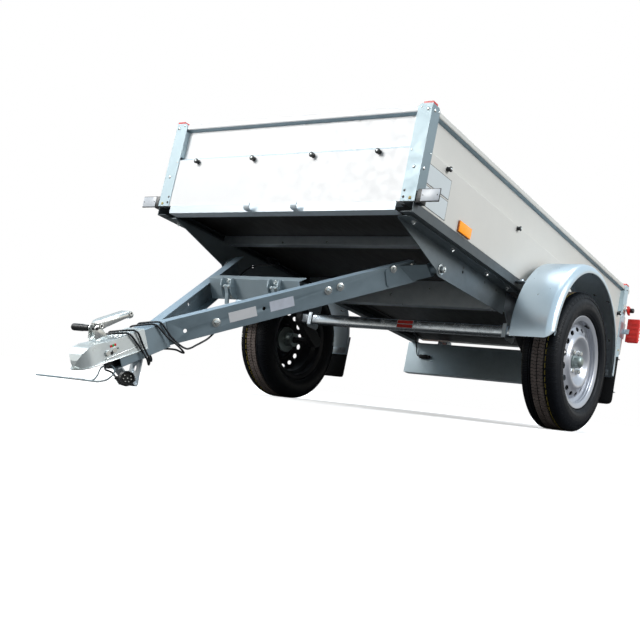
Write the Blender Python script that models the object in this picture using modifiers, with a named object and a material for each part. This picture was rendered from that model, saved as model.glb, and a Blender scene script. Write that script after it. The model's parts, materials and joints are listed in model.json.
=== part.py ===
"""Tipping car trailer, single axle, with a folding drawbar.

Metres, +Z up. The coupling points to -Y and the trailer's left side is +X.
The origin is on the floor below the middle of the overall length and width.
The trailer stands parked: on its wheels and on the foot under the drawbar's nose.
"""

import math

import bmesh
import bpy
from mathutils import Matrix, Vector, geometry

# Stance
tip_angle = math.radians(32.0)   # between the bed and the drawbar, as it stands

# Wheels and tyres, 155/70 R13 on a 4.5 J rim
tyre_radius = 0.2735
tyre_width = 0.155
rim_flange_radius = 0.1825
bead_radius = 0.1651
rim_width = 0.1143
well_radius = 0.1500
rim_sheet = 0.0040
wheel_offset = 0.030        # from the wheel's middle to its mounting face
wheel_from_plate = 0.200    # from a chassis plate's outer face to the middle of a tyre
vent_count = 16
bolt_circle = 0.050
wheel_bolts = 4
wheel_steps = 28            # facets round a tyre and its rim, the same for both

# Bed
bed_length = 2.000
bed_width = 1.144
board_height = 0.330
board_thickness = 0.028
recess_depth = 0.018        # upper half of each board lies back from its lower half
step_height = 0.190
rail_height = 0.022         # top rail of a board
floor_thickness = 0.012
axle_from_front = 1.073
floor_above_axle = 0.252

# Posts
post_sheet = 0.0025
post_front_width = 0.055
post_side_width = 0.050
post_above_board = 0.004
cap_height = 0.007
cap_length = 0.036

# Frame under the floor
frame_sheet = 0.0030
sill_height = 0.030
sill_depth = 0.045
sill_past_plate = 0.005
hook_spacing = 0.210
hook_width = 0.026
side_rail_depth = 0.035
side_rail_width = 0.044
plate_thickness = 0.0035
plate_inset = 0.072         # from the bed's side to a chassis plate's outer face
plate_drop = 0.140          # lowest edge of a chassis plate below the floor
plate_rear = 0.862
flange_width = 0.048
beam_depth = 0.072
beam_width = 0.036
beam_from_front = 0.872
rear_beam_depth = 0.200
rear_beam_past_side = 0.016
rear_beam_width = 0.048
gate_swing = 0.022          # room in front of the open tailgate
lamp_length = 0.220
lamp_height = 0.100
lamp_depth = 0.040

# Tip pivot, from the front of the bed and below its floor
pivot_from_front = 0.347
pivot_below_floor = 0.115
pivot_bolt_radius = 0.0080
bush_radius = 0.0140
lug_sheet = 0.0045
lug_from_plate = 0.035      # between the outer faces of a lug and of its chassis plate
lug_radius = 0.026

# Axle
tube_size = 0.045
tube_from_front = 0.950
tube_below_floor = 0.177
tube_past_plate = 0.036
bracket_thickness = 0.0032
bracket_flange = 0.016
arm_thickness = 0.028
spindle_radius = 0.0150
hub_radius = 0.0320
hub_flange_radius = 0.0600
hub_flange = 0.0120
cap_radius = 0.0270

# Mudguards
guard_radius = 0.352
guard_above_axle = 0.031
guard_room_inside = 0.0125  # from a tyre's walls to the guard's two edges
guard_room_outside = 0.0065
guard_lip_radius = 0.318
guard_sheet = 0.0020
guard_front_angle = math.radians(4.0)
guard_rear_angle = math.radians(2.0)

# Mudflaps
flap_width = 0.165
flap_height = 0.205
flap_thickness = 0.005

# Tailgate
gate_thickness = 0.030
gate_gap = 0.0055
gate_side_gap = 0.0078      # from the gate's ends to the lamp brackets' plane
gate_clear = 0.005          # room between the swinging gate and the frame
hinge_radius = 0.0080
hinge_drop = 0.014
hinge_spacing = 0.800
knuckle_length = 0.044
pin_radius = 0.0040

# Drawbar
arm_depth = 0.075
arm_flange = 0.035
arm_sheet = 0.0030
arm_from_plate = 0.070      # from a plate's outer face to the arm's web, at the pivot
arm_nose_room = 0.00085     # from the nose's side to the arm's web, at the arm's front end
arm_front = 0.845
nose_half_width = 0.032
nose_bottom = -0.043
nose_top = 0.0375
nose_length = 0.195
cross_from_pivot = 0.405
cross_width = 0.042
cross_top = 0.054
cross_bottom = -0.020
cross_room = 0.03915        # from the member's ends to the webs
foot_from_nose_end = 0.046  # from the nose's front end back to the foot's sole
foot_width = 0.045
foot_drop = 0.075           # from the nose's underside to the foot's sole
foot_bend = 0.0080          # outer radius of the foot's bend

# Coupling
ball_radius = 0.0250
coupling_past_nose = 0.138  # from the nose's front end to the tip of the coupling
coupling_height = 0.052

# Cable, plug and safety wire
cable_diameter = 0.0060
wire_diameter = 0.0045
plug_length = 0.098
plug_radius = 0.0212
ferrule_length = 0.042
anchor_half_width = 0.010

# Clearances
touch = 0.0003              # gap between pieces that touch
pin_gap = 0.0004            # gap around a turning pin

half_width = bed_width / 2
plate_outside = half_width - plate_inset
track = 2 * (plate_outside + wheel_from_plate)
sill_half_length = plate_outside + sill_past_plate
rear_beam_half_length = half_width + rear_beam_past_side
lug_outside = plate_outside - lug_from_plate
tube_half_length = plate_outside + tube_past_plate
guard_inside = (track - tyre_width) / 2 - guard_room_inside
guard_outside = (track + tyre_width) / 2 + guard_room_outside
arm_spread = plate_outside - arm_from_plate
arm_slope = (arm_spread - nose_half_width - arm_nose_room) / arm_front   # how a web moves in going forward
cross_half_length = arm_spread - arm_slope * cross_from_pivot - cross_room
front_y = -axle_from_front
rear_y = bed_length - axle_from_front
floor_z = floor_above_axle
pivot_y = pivot_from_front - axle_from_front
pivot_z = floor_above_axle - pivot_below_floor
arm_turn = math.atan(arm_slope)
nose_end = arm_front + nose_length      # from the pivot forward
foot_to_pivot = nose_end - foot_from_nose_end
coupling_reach = nose_end + coupling_past_nose
swing_radius = math.hypot(gate_thickness - hinge_radius, hinge_drop) + gate_clear


def clear_scene():
    for old in list(bpy.data.objects):
        bpy.data.objects.remove(old)


def new_collection(name):
    collection = bpy.data.collections.new(name)
    bpy.context.scene.collection.children.link(collection)
    return collection


clear_scene()
parts = new_collection("Tipping_trailer")
cutters = new_collection("Cutters")


def material(name, colour, roughness, metallic):
    made = bpy.data.materials.new(name)
    made.use_nodes = True
    shader = made.node_tree.nodes["Principled BSDF"]
    shader.inputs["Base Color"].default_value = (*colour, 1.0)
    shader.inputs["Roughness"].default_value = roughness
    shader.inputs["Metallic"].default_value = metallic
    return made


zinc = (0.60, 0.64, 0.68)
bright = (0.86, 0.89, 0.92)


def finish(piece, colour=zinc, roughness=0.40, metallic=0.85):
    piece.data.materials.clear()
    piece.data.materials.append(material(piece.name + "_finish", colour, roughness, metallic))


def empty(name, location, turn=0.0, axes=None):
    made = bpy.data.objects.new(name, None)
    parts.objects.link(made)
    made.location = location
    made.rotation_euler = (turn, 0.0, 0.0)
    made.parent = axes
    return made


def mesh_object(name, mesh_maker, axes, collection=parts):
    """An object whose mesh is filled by a function that gets a bmesh."""
    mesh = bpy.data.meshes.new(name)
    work = bmesh.new()
    mesh_maker(work)
    bmesh.ops.recalc_face_normals(work, faces=work.faces)
    work.to_mesh(mesh)
    work.free()
    made = bpy.data.objects.new(name, mesh)
    collection.objects.link(made)
    made.parent = axes
    return made


def box(name, low, high, axes, collection=parts):
    size = Vector(high) - Vector(low)
    middle = (Vector(high) + Vector(low)) / 2

    def fill(work):
        bmesh.ops.create_cube(work, size=1.0)
        bmesh.ops.scale(work, vec=size, verts=work.verts)
        bmesh.ops.translate(work, vec=middle, verts=work.verts)

    return mesh_object(name, fill, axes, collection)


def cylinder(name, start, end, radius, axes, sides=16, collection=parts):
    start = Vector(start)
    end = Vector(end)
    along = end - start

    def fill(work):
        bmesh.ops.create_cone(work, cap_ends=True, segments=sides, radius1=radius, radius2=radius,
                              depth=along.length)
        turn = along.to_track_quat("Z", "Y").to_matrix().to_4x4()
        bmesh.ops.transform(work, matrix=Matrix.Translation((start + end) / 2) @ turn, verts=work.verts)

    return mesh_object(name, fill, axes, collection)


# Where an outline lies: its two directions and the one that it is extruded along
planes = {
    "side": ((0, 1, 0), (0, 0, 1), (1, 0, 0)),
    "front": ((-1, 0, 0), (0, 0, 1), (0, 1, 0)),
    "top": ((1, 0, 0), (0, 1, 0), (0, 0, 1)),
}


def outline_solid(name, outlines, plane, start, end, axes, collection=parts):
    """A flat outline, with holes as further outlines, extruded from start to end."""
    across, up, along = (Vector(v) for v in planes[plane])
    curve = bpy.data.curves.new(name, "CURVE")
    curve.dimensions = "2D"
    curve.fill_mode = "BOTH"
    curve.extrude = abs(end - start) / 2
    for points in outlines:
        spline = curve.splines.new("POLY")
        spline.points.add(len(points) - 1)
        for point, (a, b) in zip(spline.points, points):
            point.co = (a if plane != "front" else -a, b, 0.0, 1.0)
        spline.use_cyclic_u = True
    guide = bpy.data.objects.new(name + "_outline", curve)
    collection.objects.link(guide)
    guide.matrix_world = Matrix((
        (across[0], up[0], along[0], along[0] * (start + end) / 2),
        (across[1], up[1], along[1], along[1] * (start + end) / 2),
        (across[2], up[2], along[2], along[2] * (start + end) / 2),
        (0, 0, 0, 1)))
    return meshed(name, guide, axes, collection)


def meshed(name, guide, axes, collection=parts):
    """The curve as a mesh with welded caps; the curve itself is removed."""
    bpy.context.view_layer.update()
    evaluated = guide.evaluated_get(bpy.context.evaluated_depsgraph_get())
    mesh = bpy.data.meshes.new_from_object(evaluated)
    mesh.name = name
    placed = guide.matrix_world.copy()
    bpy.data.objects.remove(guide)
    work = bmesh.new()
    work.from_mesh(mesh)
    bmesh.ops.transform(work, matrix=placed, verts=work.verts)
    bmesh.ops.remove_doubles(work, verts=work.verts, dist=0.00001)
    bmesh.ops.recalc_face_normals(work, faces=work.faces)
    work.to_mesh(mesh)
    work.free()
    made = bpy.data.objects.new(name, mesh)
    collection.objects.link(made)
    made.parent = axes
    return made


def combine(piece, others, operation="UNION"):
    """Joins the others to the piece, or cuts them out of it, for good."""
    for other in others:
        step = piece.modifiers.new(operation.title(), "BOOLEAN")
        step.operation = operation
        step.object = other
        step.solver = "EXACT"
    bpy.context.view_layer.update()
    evaluated = piece.evaluated_get(bpy.context.evaluated_depsgraph_get())
    mesh = bpy.data.meshes.new_from_object(evaluated)
    mesh.name = piece.name
    piece.modifiers.clear()
    piece.data = mesh
    for other in others:
        bpy.data.objects.remove(other)
    return piece


def cut(piece, *others):
    return combine(piece, others, "DIFFERENCE")


def mirrored(piece, name, axes):
    """A copy of the piece for the other side of the trailer."""
    mesh = piece.data.copy()
    work = bmesh.new()
    work.from_mesh(mesh)
    bmesh.ops.scale(work, vec=(-1, 1, 1), verts=work.verts)
    bmesh.ops.reverse_faces(work, faces=work.faces)
    work.to_mesh(mesh)
    work.free()
    made = bpy.data.objects.new(name, mesh)
    parts.objects.link(made)
    made.parent = axes
    return made


def smooth(piece, angle=35):
    piece.data.shade_smooth()
    piece.data.set_sharp_from_angle(angle=math.radians(angle))


def arc(centre, radius, start, end, steps):
    """Points on an arc; angles in degrees."""
    points = []
    for i in range(steps + 1):
        a = math.radians(start + (end - start) * i / steps)
        points.append((centre[0] + radius * math.cos(a), centre[1] + radius * math.sin(a)))
    return points


def circle(centre, radius, sides=20):
    return arc(centre, radius, 0, 360 * (sides - 1) / sides, sides - 1)


def turned(name, profile, axes, steps=32):
    """A closed profile of (x, radius) points, turned about the X axis."""
    mesh = bpy.data.meshes.new(name)
    work = bmesh.new()
    ring = [work.verts.new((x, 0.0, r)) for x, r in profile]
    edges = [work.edges.new((ring[i], ring[(i + 1) % len(ring)])) for i in range(len(ring))]
    bmesh.ops.spin(work, geom=ring + edges, cent=(0, 0, 0), axis=(1, 0, 0), angle=math.tau,
                   steps=steps, use_merge=True, use_duplicate=False)
    bmesh.ops.remove_doubles(work, verts=work.verts, dist=0.00001)
    bmesh.ops.recalc_face_normals(work, faces=work.faces)
    work.to_mesh(mesh)
    work.free()
    made = bpy.data.objects.new(name, mesh)
    parts.objects.link(made)
    made.parent = axes
    return made


def folded_sheet(name, panels, thickness, axes):
    """Flat panels that share their fold lines, thickened behind the faces seen from outside."""
    corners = []
    for panel in panels:
        corners += [corner for corner in panel if corner not in corners]
    mesh = bpy.data.meshes.new(name)
    mesh.from_pydata(corners, [], [[corners.index(corner) for corner in panel] for panel in panels])
    made = bpy.data.objects.new(name, mesh)
    parts.objects.link(made)
    made.parent = axes
    wall = made.modifiers.new("Sheet", "SOLIDIFY")
    wall.thickness = thickness
    wall.offset = -1.0
    wall.use_even_offset = True
    return made


def smooth_route(points):
    """Smooth curve through the given points, with one more between each two."""
    knots = [Vector(point) for point in points]
    knots = [2 * knots[0] - knots[1]] + knots + [2 * knots[-1] - knots[-2]]
    route = [knots[1]]
    for before, start, end, after in zip(knots, knots[1:], knots[2:], knots[3:]):
        span = (end - start).length
        first = start + (end - before) * span / (3 * ((start - before).length + span))
        second = end - (after - start) * span / (3 * ((after - end).length + span))
        route += geometry.interpolate_bezier(start, first, second, end, 3)[1:]
    return route


def tube(name, points, diameter, axes):
    """Round cord on a smooth route, with closed ends."""
    curve = bpy.data.curves.new(name, "CURVE")
    curve.dimensions = "3D"
    curve.bevel_depth = diameter / 2
    curve.bevel_resolution = 2
    curve.use_fill_caps = True
    route = smooth_route(points)
    spline = curve.splines.new("POLY")
    spline.points.add(len(route) - 1)
    for point, place in zip(spline.points, route):
        point.co = (*place, 1.0)
    made = bpy.data.objects.new(name, curve)
    parts.objects.link(made)
    made.parent = axes
    return made


# Axes of the moving bodies
def solve_stance():
    """Tilts of the bed and the drawbar with both wheels and the foot's sole on the floor."""
    bend_z = nose_bottom - foot_drop + foot_bend
    low, high = 0.0, math.radians(25)
    for _ in range(60):
        tilt = (low + high) / 2
        slope = tip_angle - tilt
        sole = (pivot_place(tilt)[1] - foot_to_pivot * math.sin(slope)
                + bend_z * math.cos(slope) - foot_bend)
        if sole < 0:
            low = tilt
        else:
            high = tilt
    return (low + high) / 2


def pivot_place(tilt):
    y = pivot_y * math.cos(tilt) + pivot_z * math.sin(tilt)
    z = tyre_radius - pivot_y * math.sin(tilt) + pivot_z * math.cos(tilt)
    return y, z


bed_tilt = solve_stance()
drawbar_slope = tip_angle - bed_tilt

bed = empty("bed_axes", (0, 0, tyre_radius), -bed_tilt)
drawbar = empty("drawbar_axes", (0, *pivot_place(bed_tilt)), drawbar_slope)
wheel_axes = {side: empty("wheel_axes_" + side, (sign * track / 2, 0, tyre_radius))
              for side, sign in (("left", 1), ("right", -1))}
gate_axes = empty("tailgate_axes", (0, rear_y + hinge_radius, floor_z - hinge_drop), 0, bed)


# Boards and posts
def board_profile(outer, thickness):
    """Section of a board: (outward, up) points, upper half stepped back, with a top rail."""
    inner = outer - thickness
    back = outer - recess_depth
    top = board_height
    points = [(inner, 0.0), (outer, 0.0), (outer, step_height - 0.006), (back, step_height + 0.006),
              (back, top - rail_height - 0.004), (outer - 0.002, top - rail_height),
              (outer, top - rail_height + 0.003), (outer, top - 0.005), (outer - 0.005, top),
              (inner + 0.004, top), (inner, top - 0.004)]
    return [(a, b + floor_z) for a, b in points]


board_outside = half_width - post_sheet - touch
board_inside = board_outside - board_thickness


def build_boards():
    start = front_y + post_sheet + touch
    end = rear_y - gate_gap
    side = outline_solid("side_board_left", [board_profile(board_outside, board_thickness)],
                         "front", start, end, bed)
    finish(side, bright, 0.45, 0.55)
    finish(mirrored(side, "side_board_right", bed), bright, 0.45, 0.55)
    outer = -front_y - post_sheet - touch
    profile = [(-a, b) for a, b in board_profile(outer, board_thickness)]
    front = outline_solid("front_board", [profile], "side", -board_inside + touch, board_inside - touch, bed)
    finish(front, bright, 0.40, 0.55)


def build_floor():
    start = front_y + post_sheet + touch + board_thickness + touch
    panel = box("floor_panel", (-board_inside + touch, start, floor_z + touch),
                (board_inside - touch, rear_y - gate_gap, floor_z + floor_thickness), bed)
    finish(panel, (0.060, 0.042, 0.034), 0.55, 0.0)


def corner_cap(start, stop):
    """Plastic cap on top of a corner, with its foot over the board's end."""
    low = floor_z + board_height + post_above_board
    cap = box("cap", (half_width - cap_length, start, low - 0.001),
              (half_width - 0.0007, stop, low + cap_height), bed)
    foot = box("cap_foot", (board_inside + 0.006, start + 0.006, floor_z + board_height + touch),
               (board_outside - 0.006, stop - 0.006, low + 0.001), bed)
    return [cap, foot]


def build_front_post():
    """Angle post round the front corner, its edges returned into the boards' recess."""
    low = floor_z
    top = floor_z + board_height + post_above_board
    chamfer = 0.010
    edge = half_width - post_front_width
    back = front_y + post_side_width
    angle = [(edge, front_y), (half_width, front_y), (half_width, back), (half_width - post_sheet, back),
             (half_width - post_sheet, front_y + post_sheet), (edge, front_y + post_sheet)]
    post = outline_solid("post_front_left", [angle], "top", low, top, bed)
    corners = [
        outline_solid("corner", [[(edge - chamfer, top - 2 * chamfer), (edge + 2 * chamfer, top + chamfer),
                                  (edge - chamfer, top + chamfer)]], "front", front_y - 0.01,
                      front_y + 0.01, bed),
        outline_solid("corner", [[(back + chamfer, top - 2 * chamfer), (back - 2 * chamfer, top + chamfer),
                                  (back + chamfer, top + chamfer)]], "side", half_width - 0.01,
                      half_width + 0.01, bed),
    ]
    cut(post, *corners)
    return_low = floor_z + step_height + 0.008
    return_high = floor_z + board_height - rail_height - 0.006
    depth = recess_depth + post_sheet
    returns = [
        box("return_a", (edge + 0.0002, front_y + 0.001, return_low),
            (edge + 0.0002 + post_sheet, front_y + depth, return_high), bed),
        box("return_b", (half_width - depth, back - 0.0002 - post_sheet, return_low),
            (half_width - 0.001, back - 0.0002, return_high), bed),
    ]
    combine(post, returns + corner_cap(front_y + 0.0007, front_y + 0.030))
    finish(post)
    finish(mirrored(post, "post_front_right", bed))


def build_rear_post():
    """Flat post on the outside of the side board's rear end."""
    low = floor_z - side_rail_depth
    top = floor_z + board_height + post_above_board
    start = rear_y - gate_gap - post_side_width
    end = rear_y - gate_gap
    chamfer = 0.010
    flank = [(start, low), (end, low), (end, top), (start + chamfer, top), (start, top - chamfer)]
    post = outline_solid("post_rear_left", [flank], "side", half_width - post_sheet, half_width, bed)
    return_low = floor_z + step_height + 0.008
    return_high = floor_z + board_height - rail_height - 0.006
    depth = recess_depth + post_sheet
    edge = box("return_a", (half_width - depth, start + 0.0002, return_low),
               (half_width - 0.001, start + 0.0002 + post_sheet, return_high), bed)
    combine(post, [edge] + corner_cap(end - 0.036, end - 0.0007))
    finish(post)
    finish(mirrored(post, "post_rear_right", bed))


# Frame under the floor
def channel(width, depth, sheet):
    """C section: web at a = 0, flanges along +a, from b = 0 down to -depth."""
    return [(0, 0), (width, 0), (width, -sheet), (sheet, -sheet), (sheet, sheet - depth),
            (width, sheet - depth), (width, -depth), (0, -depth)]


def build_sill():
    """Front sill, with the two hooks that the drawbar's latches catch."""
    top = floor_z - touch
    section = [(front_y + a, top + b) for a, b in channel(sill_depth, sill_height, frame_sheet)]
    sill = outline_solid("front_sill", [section], "side", -sill_half_length, sill_half_length, bed)
    strip = 0.004
    root = front_y + 0.001
    base = top - sill_height + 0.006
    outer = 0.014
    bend = (root - 0.012, base + outer - strip)
    hook = ([(root, base), (root, base - strip)]
            + arc(bend, outer, 270, 180, 6) + [(bend[0] - outer, bend[1] + 0.010)]
            + [(bend[0] - outer + strip, bend[1] + 0.010)] + arc(bend, outer - strip, 180, 270, 6))
    hooks = []
    for middle in (-hook_spacing / 2, hook_spacing / 2):
        hooks.append(outline_solid("hook", [hook], "side", middle - hook_width / 2,
                                   middle + hook_width / 2, bed))
    combine(sill, hooks)
    finish(sill, (0.75, 0.78, 0.81), 0.38, 0.85)


def build_side_rail():
    top = floor_z - touch
    outer = half_width - post_sheet - touch
    section = [(outer - a, top + b) for a,
               b in channel(side_rail_width, side_rail_depth - touch, frame_sheet)]
    rail = outline_solid("side_rail_left", [section], "front", front_y + 0.004,
                         rear_y + hinge_radius - swing_radius - 0.001, bed)
    finish(rail)
    finish(mirrored(rail, "side_rail_right", bed))


def pivot_bolt():
    """Bolt through the chassis plate into the drawbar's bush, with its head and nut."""
    inner = lug_outside - lug_sheet - pin_gap
    spots = ((inner - 0.013, plate_outside + 0.005, pivot_bolt_radius, 16),
             (plate_outside - 0.001, plate_outside + 0.0105, 0.0135, 6),
             (inner - 0.0105, inner, 0.0135, 6))
    return [cylinder("bolt", (start, pivot_y, pivot_z), (end, pivot_y, pivot_z), radius, bed, sides)
            for start, end, radius, sides in spots]


def build_chassis_plate():
    """Gusset plate that carries the tip pivot, its top edge folded out under the side rail."""
    top = floor_z - side_rail_depth - touch
    front = front_y + 0.035
    rear = plate_rear + front_y
    low = floor_z - plate_drop
    joined = top - plate_thickness / 2
    outline = ([(front, joined), (front, top - 0.006)]
               + arc((pivot_y, pivot_z), 0.0270, 205, 262, 5)
               + [(rear, low + 0.010), (rear, joined)])
    lightening = [circle((front_y + 0.500, floor_z - 0.075), 0.006, 12),
                  circle((front_y + 0.800, floor_z - 0.062), 0.005, 12)]
    plate = outline_solid("chassis_plate_left", [outline] + lightening, "side",
                          plate_outside - plate_thickness, plate_outside, bed)
    flange = box("flange", (plate_outside - plate_thickness + 0.0005, front - 0.0008, top - plate_thickness),
                 (plate_outside + flange_width, rear + 0.0008, top), bed)
    combine(plate, [flange] + pivot_bolt())
    finish(plate)
    finish(mirrored(plate, "chassis_plate_right", bed))


def build_cross_beam():
    """Folded beam across, between the two axle brackets."""
    top = floor_z - touch
    start = front_y + beam_from_front
    half = plate_outside - plate_thickness - bracket_thickness - 2 * touch
    section = [(start + a, top + b) for a,
               b in channel(beam_width, side_rail_depth + beam_depth, frame_sheet)]
    beam = outline_solid("cross_beam", [section], "side", -half, half, bed)
    cut(beam, cylinder("grommet", (cable_beam_hole[0], start - 0.01, cable_beam_hole[1]),
                       (cable_beam_hole[0], start + 0.01, cable_beam_hole[1]), 0.0065, bed, 12, cutters))
    finish(beam, (0.42, 0.45, 0.48))
    start = front_y + 0.330
    half = half_width - post_sheet - touch - side_rail_width - touch
    section = [(start + a, top + b) for a, b in channel(beam_width, side_rail_depth - touch, frame_sheet)]
    front_beam = outline_solid("front_cross_beam", [section], "side", -half, half, bed)
    finish(front_beam, (0.42, 0.45, 0.48))


def gate_hinge(sign):
    """Leaf, two ears and pin, one ear on each side of a knuckle of the tailgate."""
    middle = sign * hinge_spacing / 2
    axis = (rear_y + hinge_radius, floor_z - hinge_drop)
    base = floor_z - side_rail_depth - touch
    ear = 0.005
    inner = knuckle_length / 2 + pin_gap
    reach = axis[0] - swing_radius
    pieces = [box("leaf", (middle - inner - ear, reach - 0.036, base - 0.001),
                  (middle + inner + ear, reach, base + 0.003), bed)]
    shape = ([(reach - 0.012, base + 0.001), (reach, base + 0.001), (reach, axis[1] - 0.0080)]
             + arc(axis, 0.0075, 270, 450, 7) + [(reach - 0.004, axis[1] + 0.006),
                                                 (reach - 0.012, axis[1] - 0.002)])
    for low in (middle - inner - ear, middle + inner):
        pieces.append(outline_solid("ear", [shape], "side", low, low + ear, bed))
    pieces.append(cylinder("pin", (middle - inner - ear + 0.001, *axis),
                           (middle + inner + ear - 0.001, *axis),
                           pin_radius, bed, 12))
    return pieces


def build_rear_beam():
    """Deep channel at the tail, open to the rear, with the lamps inside it."""
    top = floor_z - side_rail_depth - touch
    start = rear_y - rear_beam_width - gate_swing
    section = [(start + a, top + b)
               for a, b in channel(rear_beam_width, rear_beam_depth - side_rail_depth, frame_sheet)]
    beam = outline_solid("rear_beam", [section], "side", -rear_beam_half_length,
                         rear_beam_half_length, bed)
    combine(beam, gate_hinge(1) + gate_hinge(-1))
    finish(beam)
    lamp_front = start + frame_sheet + touch
    lamp_top = top - frame_sheet - 0.022
    for side, sign in (("left", 1), ("right", -1)):
        inner = sign * (rear_beam_half_length - lamp_length - 0.012)
        outer = sign * (rear_beam_half_length - 0.012)
        lamp = box("rear_lamp_" + side, (min(inner, outer), lamp_front, lamp_top - lamp_height),
                   (max(inner, outer), lamp_front + lamp_depth, lamp_top), bed)
        finish(lamp, (0.55, 0.02, 0.02), 0.2, 0.0)


# Axle
tube_y = tube_from_front - axle_from_front
tube_z = floor_above_axle - tube_below_floor


def build_axle():
    half = tube_size / 2
    corner = 0.009
    outline = []
    for start, a, b in ((0, 1, 1), (90, -1, 1), (180, -1, -1), (270, 1, -1)):
        centre = (tube_y + a * (half - corner), tube_z + b * (half - corner))
        outline += arc(centre, corner, start, start + 90, 4)
    tube = outline_solid("axle_tube", [outline], "side", -tube_half_length, tube_half_length, bed)
    finish(tube, (0.66, 0.69, 0.72))
    smooth(tube)


def build_axle_bracket():
    """Plate beside the chassis plate with the axle tube through it, its front edge folded in."""
    outside = plate_outside - plate_thickness - touch
    inside = outside - bracket_thickness
    top = floor_z - side_rail_depth - touch
    low = tube_z - tube_size / 2 - 0.016
    front_top = front_y + 0.800
    front_low = tube_y - tube_size / 2 - 0.006
    rear = tube_y + 0.052
    outline = [(front_top, top), (front_low, floor_z - plate_drop - 0.010), (front_low, low + 0.010),
               (front_low + 0.010, low), (rear - 0.010, low), (rear, low + 0.010), (rear, top)]
    half = tube_size / 2 + touch
    hole = []
    corner = 0.009
    for start, a, b in ((0, 1, 1), (90, -1, 1), (180, -1, -1), (270, 1, -1)):
        centre = (tube_y + a * (half - corner), tube_z + b * (half - corner))
        hole += arc(centre, corner, start, start + 90, 4)
    bracket = outline_solid("axle_bracket_left", [outline, hole], "side", inside, outside, bed)
    web = outline_solid("web", [[(front_low, floor_z - plate_drop - 0.010), (front_low, low + 0.010),
                                 (front_low + bracket_thickness, low + 0.010),
                                 (front_low + bracket_thickness, floor_z - plate_drop - 0.010)]],
                        "side", inside - bracket_flange, outside - 0.0005, bed)
    combine(bracket, [web])
    finish(bracket)
    finish(mirrored(bracket, "axle_bracket_right", bed))


def build_suspension_arm():
    """Trailing arm of the rubber-sprung axle, with the stub that carries the hub."""
    start = tube_half_length + touch
    end = start + arm_thickness
    lean = math.degrees(math.atan2(tube_z, tube_y))
    big, small = 0.034, 0.028
    outline = arc((tube_y, tube_z), big, lean - 80, lean + 80, 10) + arc((0, 0), small, lean + 98,
                                                                         lean + 262, 10)
    arm = outline_solid("suspension_arm_left", [outline], "side", start, end, bed)
    stub = cylinder("stub", (end - 0.004, 0, 0), (track / 2 + wheel_offset - 0.020, 0, 0), spindle_radius,
                    bed)
    shoulder = cylinder("shoulder", (end - 0.004, 0, 0), (end + 0.018, 0, 0), spindle_radius + 0.010, bed)
    combine(arm, [stub, shoulder])
    finish(arm, (0.10, 0.10, 0.11), 0.5, 0.6)
    finish(mirrored(arm, "suspension_arm_right", bed), (0.10, 0.10, 0.11), 0.5, 0.6)


# Wheels
def build_tyre(side):
    crown = tyre_radius
    half = tyre_width / 2
    seat = rim_width / 2 - 0.0010
    outer = [(0.009, crown), (0.010, crown - 0.006), (0.015, crown - 0.006), (0.016, crown),
             (0.0575, crown - 0.0035), (0.0685, crown - 0.012), (half - 0.0015, crown - 0.034),
             (half, crown - 0.054), (0.0670, rim_flange_radius + 0.0065),
             (seat - 0.0005, rim_flange_radius), (seat - 0.0005, bead_radius + touch)]
    inner = [(seat - 0.015, bead_radius + touch), (half - 0.012, crown - 0.055), (0.050, crown - 0.016)]
    right = outer + inner
    profile = right + [(-x, r) for x, r in reversed(right)]
    tyre = turned("tyre_" + side, profile, wheel_axes[side], wheel_steps)
    smooth(tyre, 30)
    finish(tyre, (0.018, 0.018, 0.020), 0.75, 0.0)


def build_rim(side, sign):
    flange = rim_flange_radius
    half = rim_width / 2
    seat = bead_radius
    sheet = rim_sheet
    tyre_side = [(half + 0.0060, flange - 0.001), (half + 0.001, flange - 0.001),
                 (half, seat), (half - 0.021, seat), (half - 0.031, well_radius), (-0.018, well_radius),
                 (-0.032, seat), (-half, seat), (-half - 0.001, flange - 0.001),
                 (-half - 0.0060, flange - 0.001)]
    barrel_back = [(-half + 0.001, seat - sheet), (-0.033, seat - sheet), (-0.019, well_radius - sheet)]
    face = wheel_offset
    disc_back = [(-0.002, well_radius - sheet), (0.008, 0.140), (0.022, 0.118), (face + 0.012, 0.102),
                 (face + 0.011, 0.086), (face, 0.066), (face, cap_radius + 0.002)]
    disc_front = [(x + sheet, r) for x, r in reversed(disc_back[2:])]
    disc_front += [(0.013, 0.140), (0.016, well_radius - sheet)]
    barrel_front = [(half - 0.030, well_radius - sheet), (half - 0.019, seat - sheet),
                    (half - 0.001, seat - sheet)]
    profile = tyre_side + barrel_back + disc_back + disc_front + barrel_front
    if sign < 0:
        profile = [(-x, r) for x, r in reversed(profile)]
    rim = turned("rim_" + side, profile, wheel_axes[side], wheel_steps)
    holes = mesh_object("vents", lambda work: vent_holes(work, sign), wheel_axes[side], cutters)
    cut(rim, holes)
    smooth(rim, 40)
    finish(rim, (0.62, 0.64, 0.67), 0.32, 0.8)


def vent_holes(work, sign):
    """Oval vents near the edge of the disc, and the holes of the wheel bolts."""
    for i in range(vent_count):
        angle = math.tau * (i + 0.5) / vent_count
        made = bmesh.ops.create_cone(work, cap_ends=True, segments=8, radius1=1, radius2=1, depth=1)
        place = (Matrix.Rotation(angle, 4, "X") @ Matrix.Translation((sign * 0.024, 0, 0.1265))
                 @ Matrix.Rotation(math.radians(-38 * sign), 4, "Y") @ Matrix.Rotation(math.pi / 2, 4, "Y"))
        size = Matrix.Diagonal((0.0062, 0.0115, 0.030, 1))
        bmesh.ops.transform(work, matrix=place @ size, verts=made["verts"])
    for i in range(wheel_bolts):
        angle = math.tau * (i + 0.5) / wheel_bolts
        made = bmesh.ops.create_cone(work, cap_ends=True, segments=8, radius1=0.0070, radius2=0.0070,
                                     depth=0.020)
        place = (Matrix.Rotation(angle, 4, "X") @ Matrix.Translation((sign * wheel_offset, 0, bolt_circle))
                 @ Matrix.Rotation(math.pi / 2, 4, "Y"))
        bmesh.ops.transform(work, matrix=place, verts=made["verts"])


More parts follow.
